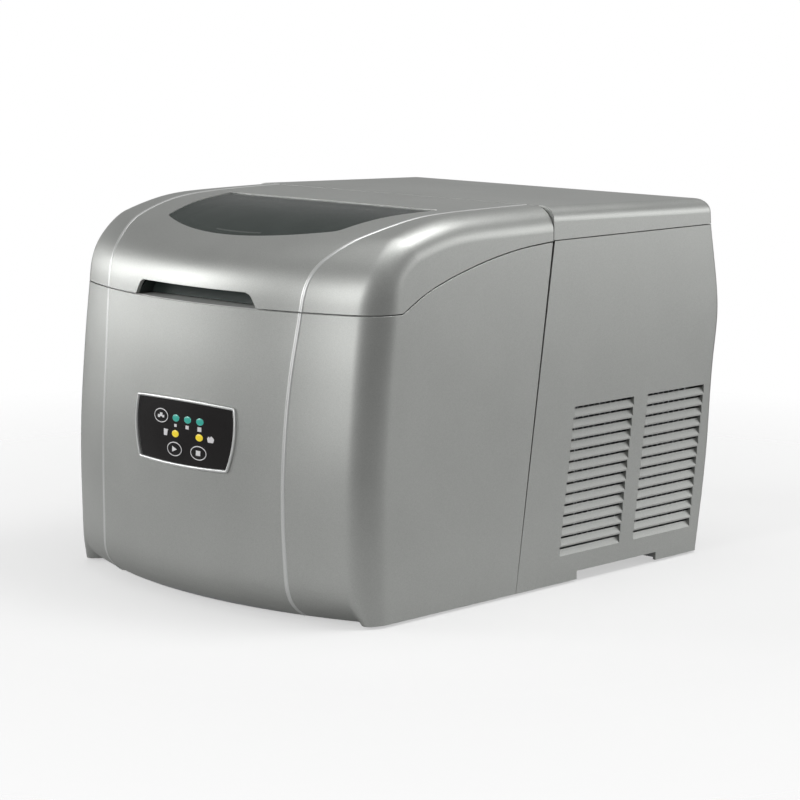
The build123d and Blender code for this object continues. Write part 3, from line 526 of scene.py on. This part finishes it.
# %% Seams on the side
LID_CORNER = (-0.1565, LID_Z)
LID_ARC = smooth_line([LID_CORNER, (-0.1340, 0.2560), (-0.1000, 0.2682), (-0.0600, 0.2782),
                       (-0.0200, 0.2846), (LID_REAR_Y, 0.2873)], 150)
SPLIT = [(-0.0268, EDGE_Z), (-0.0125, 0.100), (0.0024, 0.200), (0.0150, 0.2862)]
GAP = 0.9 * MM


def cut_column(column, start, end, count):
    """Even points along a column between two places, each given as (axis, value)."""
    ends = []
    for axis, value in (start, end):
        past = np.nonzero((column[:-1, axis] <= value) & (column[1:, axis] > value))[0]
        if len(past) == 0:
            ends.append((0 if value <= column[0, axis] else len(column) - 1) * 1.0)
        else:
            i = past[0]
            ends.append(i + (value - column[i, axis]) / (column[i + 1, axis] - column[i, axis]))
    at = np.linspace(ends[0], ends[1], count)
    steps = np.arange(len(column))
    return np.stack([np.interp(at, steps, column[:, k]) for k in range(3)], axis=1)


def cut_form(points, start, end, count):
    """Cut every column of the form in the same way."""
    return np.stack([cut_column(points[:, c], start, end, count) for c in range(points.shape[1])], axis=1)


def side_strip(edge, goal, count):
    """Columns on the flat side from the form's last column to a goal line."""
    shares = np.linspace(0, 1, count)[1:]
    return np.stack([edge + (goal - edge) * share for share in shares], axis=1)


def on_side(points):
    """Points (y, z) on the flat right side."""
    points = np.array(points)
    return np.concatenate([np.full((len(points), 1), HALF_W), points], axis=1)


def both_sides(half):
    """Mirror a half grid whose first column is the middle."""
    mirror = half[:, :0:-1] * np.array([-1.0, 1.0, 1.0])
    return np.concatenate([mirror, half], axis=1)


print("side seam from", LID_CORNER, "to", LID_ARC[-1])

# %% [markdown]
# ## Openings that follow the grid
# The lid needs a window and a finger notch, and the housing a pocket for the panel. A Boolean would leave
# many-sided faces that shade badly on a curved sheet. Here the opening is a function that is negative inside.
# Each grid edge that crosses it has its nearer end slid onto the crossing, so the faces stay clean quads.

# %% Conforming openings
def open_grid(grid, outline):
    """Vertices and faces of a grid with everything inside the outline left out."""
    rows, columns = grid.shape[:2]
    verts = grid.reshape(-1, 3).copy()
    level = outline(verts)
    state = np.sign(level)
    pairs = [(r * columns + c, r * columns + c + 1) for r in range(rows) for c in range(columns - 1)]
    pairs += [(r * columns + c, (r + 1) * columns + c) for r in range(rows - 1) for c in range(columns)]
    moves = []
    for a, b in pairs:
        if level[a] * level[b] < 0:
            share = level[a] / (level[a] - level[b])
            near = a if share < 0.5 else b
            moves.append((min(share, 1 - share), near, verts[a] + (verts[b] - verts[a]) * share))
    moved = set()
    for _, near, spot in sorted(moves, key=lambda move: move[0]):
        if near not in moved:
            verts[near] = spot
            state[near] = 0
            moved.add(near)
    faces = []
    for quad in grid_faces(rows, columns):
        signs = [state[v] for v in quad]
        if min(signs) >= 0 and max(signs) > 0:
            faces.append(quad)
        elif min(signs) < 0 < max(signs):
            corner = signs.index(max(signs))
            if signs[corner - 1] >= 0 and signs[(corner + 1) % 4] >= 0:
                faces.append((quad[corner - 1], quad[corner], quad[(corner + 1) % 4]))
    used = sorted({v for face in faces for v in face})
    new = {v: i for i, v in enumerate(used)}
    return verts[used], [tuple(new[v] for v in face) for face in faces]


def polygon_level(corners, axes):
    """Distance to a closed outline in a plane of two axes, negative inside, on the front half."""
    corners = np.array(corners)
    ahead = np.roll(corners, -1, axis=0)

    def level(points):
        flat = points[:, list(axes)]
        nearest = np.full(len(flat), 1e9)
        inside = np.zeros(len(flat), bool)
        for a, b in zip(corners, ahead):
            side = b - a
            share = np.clip(((flat - a) @ side) / (side @ side), 0, 1)
            nearest = np.minimum(nearest, np.linalg.norm(flat - a - share[:, None] * side, axis=1))
            crosses = (a[1] > flat[:, 1]) != (b[1] > flat[:, 1])
            with np.errstate(divide="ignore", invalid="ignore"):
                where = a[0] + (flat[:, 1] - a[1]) * side[0] / side[1]
            inside ^= crosses & (flat[:, 0] < where)
        inside &= points[:, 1] < 0
        return np.where(inside, -nearest, nearest)

    return level


def rounded(corners, radius, steps=7):
    """A closed outline with its corners rounded."""
    corners = [np.array(c, float) for c in corners]
    if isinstance(radius, (int, float)):
        radius = [radius] * len(corners)
    line = []
    for i, here in enumerate(corners):
        before, after = corners[i - 1] - here, corners[(i + 1) % len(corners)] - here
        size_b, size_a = np.linalg.norm(before), np.linalg.norm(after)
        half = np.arccos(np.clip(before @ after / (size_b * size_a), -1, 1)) / 2
        reach = min(radius[i] / np.tan(half), 0.48 * size_b, 0.48 * size_a)
        first, last = here + before / size_b * reach, here + after / size_a * reach
        for t in np.linspace(0, 1, steps):
            line.append((1 - t) ** 2 * first + 2 * t * (1 - t) * here + t * t * last)
    return np.array(line)


def bowed(start, end, bulge, count=24):
    """Points of a shallow arc from start to end, without the end."""
    start, end = np.array(start, float), np.array(end, float)
    t = np.linspace(0, 1, count, endpoint=False)[:, None]
    return start + (end - start) * t + 4 * t * (1 - t) * np.array(bulge)


print("openings ready")

# %% [markdown]
# ## The lid
# The lid is one moulded shell: the crown, the roll at the front and part of both sides. Its finger notch is a
# low trapezium in the front edge, and the window is straight at the back and bowed at the front.

# %% Lid shell
WALL, RIM = 3.0 * MM, 0.45 * MM


def window_line(grow=0.0):
    """Outline of the window in plan, grown outward by a distance."""
    rear, front = -0.060 + grow, -0.1525 - grow
    side_r, side_f = 0.127 + grow, 0.103 + grow
    bow = bowed((-side_f, front), (side_f, front), (0, -0.0275))
    line = np.concatenate([bow, [(side_f, front), (side_r, rear), (-side_r, rear)]])
    return rounded(line, [0.010] + [0.05] * 23 + [0.010, 0.006, 0.006])


cup_low, cup_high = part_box("lid_handle_cup")
LEFT, RIGHT = cup_low.x + 1.6 * MM, cup_high.x - 1.6 * MM
NOTCH = rounded([(LEFT, 0.230), (RIGHT, 0.230), (RIGHT, LID_Z), (RIGHT - 0.0080, 0.2555),
                 (LEFT + 0.0065, 0.2560), (LEFT, LID_Z)], [0.001, 0.001, 0.001, 0.009, 0.006, 0.001])


def lid_grid():
    """Grid of the lid's outer surface."""
    half = cut_form(form, (2, LID_Z), (1, LID_REAR_Y), 150)
    goal = on_side(LID_ARC)
    strip = side_strip(half[:, -1], goal, 22)
    return both_sides(np.concatenate([half, strip], axis=1))


window_level, notch_level = polygon_level(window_line(), (0, 1)), polygon_level(NOTCH, (0, 2))


def lid_level(points):
    """Negative in the window and in the finger notch."""
    crown = np.where(points[:, 2] > 0.28, window_level(points), 1.0)
    front = np.where((points[:, 2] < 0.27) & (points[:, 1] < -0.17), notch_level(points), 1.0)
    return np.minimum(crown, front)


verts, faces = open_grid(lid_grid(), lid_level)
lid = show("lid_skin", verts, faces, silver_paint, "lid", "lid_shell")
thicken(lid, WALL, RIM)
print("lid", len(verts), "points")

# %% [markdown]
# ## The front housing
# The housing continues the lid's form down to the table edge, and its cheeks run back to a slanted seam. The
# cheek is a four-sided flat patch: its rows run between the lower and upper borders, so all four borders fall
# on rows or columns of the grid.

# %% Front housing shell
PANEL_X = sum(corner.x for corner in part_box("panel_bezel")) / 2


def panel_line(grow=0.0):
    """Outline of the control panel in front view: barrel-shaped and wider at the top."""
    top, bottom = 0.165 + grow, 0.113 - grow
    wide, narrow, waist = 0.0584 + grow, 0.0532 + grow, 0.0040
    line = np.concatenate([bowed((-wide, top), (wide, top), (0, 0.0016)),
                           bowed((wide, top), (narrow, bottom), (waist, 0)),
                           bowed((narrow, bottom), (-narrow, bottom), (0, -0.0012)),
                           bowed((-narrow, bottom), (-wide, top), (-waist, 0))])
    radius = [0.006] + [0.05] * 23
    return rounded(line, radius * 4) + (PANEL_X, 0)


def cheek(edge, count):
    """Flat patch between the form's last column, the seam of the lid and the slanted split."""
    rows = len(edge)
    along = np.gradient(LID_ARC, axis=0)
    along /= np.linalg.norm(along, axis=1)[:, None]
    arc = LID_ARC + GAP * np.stack([along[:, 1], -along[:, 0]], axis=1)
    arc = arc[(arc[:, 1] > LID_Z - GAP) & (arc[:, 0] < SPLIT[-1][0] - 0.001)]
    corner = (arc[0, 0] - 0.001, LID_Z - GAP)
    top = np.concatenate([[edge[-1, 1:]], [corner], arc, [SPLIT[-1]]])
    lengths = np.concatenate([[0], np.cumsum(np.linalg.norm(np.diff(top, axis=0), axis=1))])
    even = np.linspace(0, lengths[-1], count)
    upper = np.stack([np.interp(even, lengths, top[:, k]) for k in (0, 1)], axis=1)
    upper[np.abs(upper[:, 0] - corner[0]).argmin()] = corner
    split = smooth_line(SPLIT, rows)
    lower = np.linspace(edge[0, 1:], split[0], count)
    u, v = np.linspace(0, 1, rows)[:, None, None], np.linspace(0, 1, count)[None, :, None]
    patch = (1 - u) * lower[None] + u * upper[None] + (1 - v) * edge[:, None, 1:] + v * split[:, None]
    patch -= (1 - u) * (1 - v) * lower[0] + (1 - u) * v * lower[-1]
    patch -= u * (1 - v) * upper[0] + u * v * upper[-1]
    return np.stack([on_side(row) for row in patch], axis=0)[:, 1:]


def housing_grid():
    """Grid of the front housing's outer surface."""
    half = cut_form(form, (2, EDGE_Z), (2, LID_Z - GAP), 110)
    return both_sides(np.concatenate([half, cheek(half[:, -1], 60)], axis=1))


panel_level = polygon_level(panel_line(), (0, 2))
verts, faces = open_grid(housing_grid(), lambda p: np.where(p[:, 1] < -0.17, panel_level(p), 1.0))
housing = show("front_skin", verts, faces, silver_paint, "housing", "front_housing")
thicken(housing, WALL, RIM)
print("front housing", len(verts), "points")

# %% [markdown]
# ## Beads in lighter silver
# A bead runs on each side from the foot of the front, over the roll and back to the hinge. Its lighter silver
# is partly its own tone and partly painted highlight, for the light that its crest catches. It is two strips,
# one on the housing and one on the lid, so that the lid can open. Each strip is a low flat section swept along
# the surface, sunk a little into it, and kept square to it by the surface's own normal.

# %% Beads
def surface_at(share, x):
    """Point and normal on the front form at a station share and a width."""
    station, x = np.asarray(share, float) * (STATIONS - 1), np.asarray(x, float)
    under = np.interp(station, np.arange(STATIONS), under_of)
    return body_point(station, x) + under[..., None] * (0, 1, 0), body_normal(station, x)


def station_of(height=None, reach=None):
    """Station share at a height on the front, or at a reach (radius) on the crown."""
    if height is not None:
        return np.interp(height, profile[:STATIONS // 2, 1], np.arange(STATIONS // 2)) / (STATIONS - 1)
    order = np.arange(STATIONS - 1, STATIONS // 2, -1)
    return np.interp(reach, profile[order, 0], order) / (STATIONS - 1)


FRONT_LINE = [(0.1140, 0.003), (0.1110, 0.070), (0.1108, 0.130), (0.1130, 0.196), (0.1165, 0.236),
              (0.1180, 0.255)]                                                     # (x, z)
CROWN_LINE = [(0.1235, -0.192), (0.1290, -0.176), (0.1380, -0.146), (0.1450, -0.090), (0.1485, -0.040),
              (0.1490, 0.020)]                                                     # (x, y)
knots = [(station_of(height=z), x) for x, z in FRONT_LINE]
knots += [(station_of(reach=sqrt(x * x + (BOW_Y - y) ** 2)), x) for x, y in CROWN_LINE]
bead_line = smooth_line(knots, 1200)


def strip_section(width, proud, sunk, count=9):
    """Low section with a flat top and rounded shoulders, as (across, out) points."""
    across = np.linspace(-1, 1, count)
    crest = [(width / 2 * a, proud * (1 - abs(a) ** 3)) for a in across]
    return [(-width / 2, -sunk)] + crest + [(width / 2, -sunk)]


BEAD_SECTION = strip_section(3.7 * MM, 0.55 * MM, 0.8 * MM)


def sweep(points, normals, section, closed=False):
    """Vertices and faces of a section swept along a path, kept square to the surface."""
    points, normals = np.array(points), np.array(normals)
    if closed:
        ahead = np.roll(points, -1, axis=0) - np.roll(points, 1, axis=0)
    else:
        ahead = np.gradient(points, axis=0)
    ahead /= np.linalg.norm(ahead, axis=1)[:, None]
    across = np.cross(ahead, normals)
    across /= np.linalg.norm(across, axis=1)[:, None]
    verts = [p + across[i] * a + normals[i] * b for i, p in enumerate(points) for a, b in section]
    size, total = len(section), len(points)
    faces = []
    for i in range(total if closed else total - 1):
        j = (i + 1) % total
        for k in range(size):
            m = (k + 1) % size
            faces.append((i * size + k, i * size + m, j * size + m, j * size + k))
    if not closed:
        faces += [tuple(range(size)), tuple(reversed(range((total - 1) * size, total * size)))]
    return verts, faces


def tidy(piece, angle=35):
    """Turn all faces outward and keep hard edges hard."""
    shape = bmesh.new()
    shape.from_mesh(piece.data)
    bmesh.ops.recalc_face_normals(shape, faces=shape.faces)
    shape.to_mesh(piece.data)
    shape.free()
    piece.data.set_sharp_from_angle(angle=radians(angle))


def make_bead(name, heights, high_y, body, node, mirror):
    """One bead strip between two heights on the front, or from a height to a depth on the crown."""
    point, normal = surface_at(bead_line[:, 0], bead_line[:, 1])
    below = point[:, 2] < heights[1] if high_y is None else point[:, 1] < high_y
    keep = (point[:, 2] > heights[0]) & below
    flip = np.array([mirror, 1.0, 1.0])
    verts, faces = sweep(point[keep] * flip, normal[keep] * flip, BEAD_SECTION)
    # The lighter trim paint here is partly painted highlight on the bead.
    bead = show(name, verts, faces, light_trim_and_painted_highlight, body, node)
    tidy(bead)


for side, mirror in (("right", 1.0), ("left", -1.0)):
    make_bead("front_bead_" + side, (EDGE_Z + 0.6 * MM, LID_Z - GAP), None, "housing",
              "housing_trim_" + side, mirror)
    make_bead("lid_bead_" + side, (LID_Z, 1.0), LID_REAR_Y, "lid", "lid_trim_" + side, mirror)
print("four bead strips swept")

# %% [markdown]
# ## The smoked window
# The window is a tinted pane, sunk a little below the lid, over a pale inner frame that is wider at the back.
# The pane is so dark that the frame and the hollow under it show only faintly. It is cut from a sheet that
# follows the crown, with the same grid cutting as the lid, but keeping the inside.

# %% Pane and inner frame
PANE_SINK, PANE_WALL, PANE_RIM = 0.9 * MM, 2.0 * MM, 0.3 * MM
FRAME_SINK, FRAME_WALL, FRAME_RIM = 3.6 * MM, 4.0 * MM, 0.4 * MM


def crown_patch(lift):
    """Grid over the window's surroundings that follows the crown."""
    xs, ys = np.linspace(-0.135, 0.135, 120), np.linspace(-0.188, -0.052, 70)
    x, y = np.meshgrid(xs, ys)
    share = station_of(reach=np.sqrt(x * x + (BOW_Y - y) ** 2))
    return surface_at(share, x)[0] + (0, 0, lift)


def inner_window_line():
    """Clear opening of the inner frame."""
    bow = bowed((-0.0955, -0.1465), (0.0955, -0.1465), (0, -0.0255))
    line = np.concatenate([bow, [(0.0955, -0.1465), (0.113, -0.084), (-0.113, -0.084)]])
    return rounded(line, [0.010] + [0.05] * 23 + [0.010, 0.005, 0.005])


outer_edge = polygon_level(window_line(-0.25 * MM), (0, 1))
clear_edge = polygon_level(inner_window_line(), (0, 1))
verts, faces = open_grid(crown_patch(-PANE_SINK), lambda p: -outer_edge(p))
window_pane = show("smoked_pane", verts, faces, pane, "lid", "lid_window")
thicken(window_pane, PANE_WALL, PANE_RIM)
verts, faces = open_grid(crown_patch(-FRAME_SINK), lambda p: np.minimum(-outer_edge(p), clear_edge(p)))
inner_frame = show("window_inner_frame", verts, faces, white_plastic, "lid", "lid_window_frame")
thicken(inner_frame, FRAME_WALL, FRAME_RIM)
print("pane and inner frame cut")

# %% [markdown]
# ## The control panel
# The panel is a raised bright bezel around a glossy black overlay. Three push buttons, marked by thin white
# rings, three green lamps and two yellow ones sit in it. Signs are plain: cubes for choosing the ice size, a
# triangle for start, a square for stop, three growing cubes for ice size, a jug for water and a heap for a
# full basket.

# %% Pieces that sit on the bowed front
def on_front(x, z, lift=0.0):
    """Point and outward normal of the bowed front at (x, z)."""
    point, normal = surface_at(station_of(height=np.asarray(z, float)), x)
    return point + lift * normal, normal


def front_patch(low, high, counts, lift):
    """Grid over a rectangle of the front, given by its (x, z) corners."""
    x, z = np.meshgrid(np.linspace(low[0], high[0], counts[0]), np.linspace(low[1], high[1], counts[1]))
    return on_front(x, z, lift)[0]


def edge_band(name, outline, section, material, body, node=None):
    """A closed strip along an outline on the front."""
    point, normal = on_front(outline[:, 0], outline[:, 1])
    verts, faces = sweep(point, normal, section, closed=True)
    piece = show(name, verts, faces, material, body, node)
    tidy(piece)
    return piece


def even_outline(line, count):
    """The same closed outline as evenly spaced points."""
    line = np.concatenate([line, line[:1]])
    along = np.concatenate([[0], np.cumsum(np.linalg.norm(np.diff(line, axis=0), axis=1))])
    at = np.linspace(0, along[-1], count, endpoint=False)
    return np.stack([np.interp(at, along, line[:, k]) for k in (0, 1)], axis=1)


def oval_line(centre, a, b, count=48):
    """Points of an oval."""
    turn = np.linspace(0, 2 * pi, count, endpoint=False)
    return np.stack([centre[0] + a * np.cos(turn), centre[1] + b * np.sin(turn)], axis=1)


def cap(name, centre, a, b, lift, crown, depth, material, body, node=None):
    """A low oval dome with a rounded edge and a skirt, set into the front."""
    rings = [(0.25, 0.0), (0.5, 0.0), (0.75, 0.0), (0.90, 0.0), (0.96, 0.04), (0.99, 0.16), (1.0, 0.35)]
    verts, faces = [on_front(centre[0], centre[1], lift + crown)[0]], []
    size = 48
    for share, drop in rings + [(1.0, 1.0)]:
        line = oval_line(centre, a * share, b * share, size)
        height = lift + crown * (1 - share * share) - drop * (depth if drop == 1.0 else lift + crown)
        verts += list(on_front(line[:, 0], line[:, 1], height)[0])
    faces += [(0, 1 + k, 1 + (k + 1) % size) for k in range(size)]
    for ring in range(len(rings)):
        first, second = 1 + ring * size, 1 + (ring + 1) * size
        faces += [(first + k, second + k, second + (k + 1) % size, first + (k + 1) % size)
                  for k in range(size)]
    piece = show(name, verts, faces, material, body, node)
    tidy(piece, 50)
    return piece


def sign(name, outline, lift, body, thick=0.12 * MM):
    """A flat white sign with a given outline."""
    outline = np.array(outline)
    top = on_front(outline[:, 0], outline[:, 1], lift + thick)[0]
    low = on_front(outline[:, 0], outline[:, 1], lift - thick)[0]
    size = len(outline)
    faces = [tuple(range(size)), tuple(range(2 * size - 1, size - 1, -1))]
    faces += [(k, (k + 1) % size, size + (k + 1) % size, size + k) for k in range(size)]
    piece = show(name, list(top) + list(low), faces, white_ink, body, smooth=False)
    tidy(piece)
    return piece


print("panel helpers ready")

# %% Bezel and overlay
BEZEL_W, OVERLAY_LIFT = 2.3 * MM, 0.25 * MM
left_half = [(-BEZEL_W / 2, -1.5 * MM), (-BEZEL_W / 2, 0.9 * MM), (-0.85 * MM, 1.5 * MM),
             (-0.3 * MM, 1.75 * MM)]
bezel_section = left_half + [(-across, out) for across, out in reversed(left_half)]
edge_band("panel_border", even_outline(panel_line(-BEZEL_W / 2), 260), bezel_section, light_trim_and_painted_highlight,
          "housing", "panel_bezel")
inside_bezel = polygon_level(panel_line(-BEZEL_W + 0.2 * MM), (0, 2))
patch = front_patch((PANEL_X - 0.062, 0.108), (PANEL_X + 0.062, 0.170), (90, 50), OVERLAY_LIFT)
verts, faces = open_grid(patch, lambda p: -inside_bezel(p))
overlay = show("panel_face", verts, faces, panel_black, "housing", "panel_overlay")
thicken(overlay, 1.2 * MM, 0.1 * MM)
print("bezel and overlay made")

# %% Buttons and lamps
BUTTON_A, BUTTON_B = 9.4 * MM, 6.0 * MM


def middle(node):
    """Middle of a CAD node in front view."""
    low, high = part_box(node)
    return (low.x + high.x) / 2, (low.z + high.z) / 2


BUTTONS = {name: middle(name) for name in ("select_button", "start_button", "stop_button")}
RING = strip_section(0.75 * MM, 0.12 * MM, 0.1 * MM, 5)
BUTTON_LIFT = 0.75 * MM
for name, centre in BUTTONS.items():
    cap(name + "_cap", centre, BUTTON_A, BUTTON_B, BUTTON_LIFT, 0.15 * MM, 2.0 * MM, panel_black, name, name)
    line = oval_line(centre, BUTTON_A - 0.8 * MM, BUTTON_B - 0.7 * MM, 72)
    point, normal = on_front(line[:, 0], line[:, 1], BUTTON_LIFT + 0.03 * MM)
    verts, faces = sweep(point, normal, RING, closed=True)
    tidy(show(name + "_ring", verts, faces, white_ink, name))

PITCH, LAMP_A, LAMP_B = 14.1 * MM, 4.2 * MM, 2.9 * MM
GREEN_X, GREEN_Z = middle("green_lamps")
YELLOW_Z = middle("yellow_lamps")[1]
LAMPS = {"green_lamps": ([(GREEN_X + step * PITCH, GREEN_Z) for step in (-1, 0, 1)], lamp_green,
                         "lamp_green"),
         "yellow_lamps": ([(GREEN_X + step * PITCH, YELLOW_Z) for step in (-1, 1)], lamp_yellow,
                          "lamp_yellow")}
for node, (centres, material, slot) in LAMPS.items():
    for index, centre in enumerate(centres):
        cap("%s_lens_%d" % (node, index + 1), centre, LAMP_A, LAMP_B, 0.35 * MM, 0.35 * MM, 1.2 * MM,
            material, "housing", node)
print("3 buttons and 5 lamps made")

# %% Signs
def box_line(x, z, half_w, half_h):
    """A small upright rectangle."""
    left, right, foot, top = x - half_w, x + half_w, z - half_h, z + half_h
    return [(left, foot), (right, foot), (right, top), (left, top)]


SIGN_LIFT, SIZE_SIGN_Z = OVERLAY_LIFT + 0.05 * MM, 0.1442
for index, half in enumerate((1.15, 1.45, 1.75)):
    outline = box_line(GREEN_X + (index - 1) * PITCH, SIZE_SIGN_Z, half * 1.25 * MM, half * MM)
    sign("size_sign_%d" % (index + 1), outline, SIGN_LIFT, "housing")
on_button = BUTTON_LIFT + 0.15 * MM
sx, sz = BUTTONS["start_button"]
sign("start_sign", [(sx - 2.4 * MM, sz - 2.3 * MM), (sx + 3.4 * MM, sz), (sx - 2.4 * MM, sz + 2.3 * MM)],
     on_button, "start_button")
sx, sz = BUTTONS["stop_button"]
sign("stop_sign", box_line(sx, sz, 2.5 * MM, 2.0 * MM), on_button, "stop_button")
sx, sz = BUTTONS["select_button"]
for index, (dx, dz, half) in enumerate(((-2.6, -0.6, 1.2), (0.2, 0.7, 1.5), (3.2, -0.4, 1.0))):
    sign("select_sign_%d" % (index + 1), box_line(sx + dx * MM, sz + dz * MM, half * 1.1 * MM, half * MM),
         on_button, "select_button")
jug = np.array([(-2.0, -2.6), (2.0, -2.6), (2.5, 1.4), (3.4, 2.4), (1.6, 2.6), (-2.4, 2.6)]) * MM
sign("water_sign", jug + (GREEN_X - 0.0262, YELLOW_Z), SIGN_LIFT, "housing")
heap = [(-3.8, 0.3), (-2.8, -2.6), (2.8, -2.6), (3.8, 0.3), (2.4, 1.6), (0.6, 2.6), (-1.0, 1.4), (-2.6, 2.2)]
sign("basket_sign", np.array(heap) * MM + (GREEN_X + 0.0268, YELLOW_Z), SIGN_LIFT, "housing")
print("signs made")

# %% [markdown]
# ## Finishes for the pieces kept from the CAD model
# The pieces whose CAD shape is right stay. Each gets its finish by name and keeps the edges and the smooth
# faces that came with it.

# %% Finishes by node
KEPT = {
    silver_paint: "rear_housing rear_top_cover recess_cups",
    cup_plastic: "lid_handle_cup",
    dark_plastic: "fan_motor fan_rotor drain_spout power_inlet water_pump hinge_brackets lid_knuckles",
    white_plastic: "compartment_liner compartment_rim ice_basket water_tray ice_shovel ice_chute "
                   "float_stem float_ring lid_inner_panel",
    grey_plastic: "lid_posts tray_bearing tray_motor ice_full_sensor",
    black_rubber: "rubber_feet compressor_grommets drain_plug",
    grey_rubber: "lid_seal pump_hose drain_tube",
    foam: "liner_insulation",
    board_green: "control_board power_board",
    zinc_steel: "base_tray fan_shroud hinge_pins hot_gas_valve",
    nickel: "evaporator_plate evaporator_fingers",
    copper: "suction_tube feed_tube hot_gas_tube filter_drier",
    fin_aluminium: "condenser",
    black_enamel: "compressor",
}
for material, names in KEPT.items():
    for name in names.split():
        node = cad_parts[name]
        node.data.materials.clear()
        node.data.materials.append(material)
print("finishes given to", sum(len(names.split()) for names in KEPT.values()), "nodes")
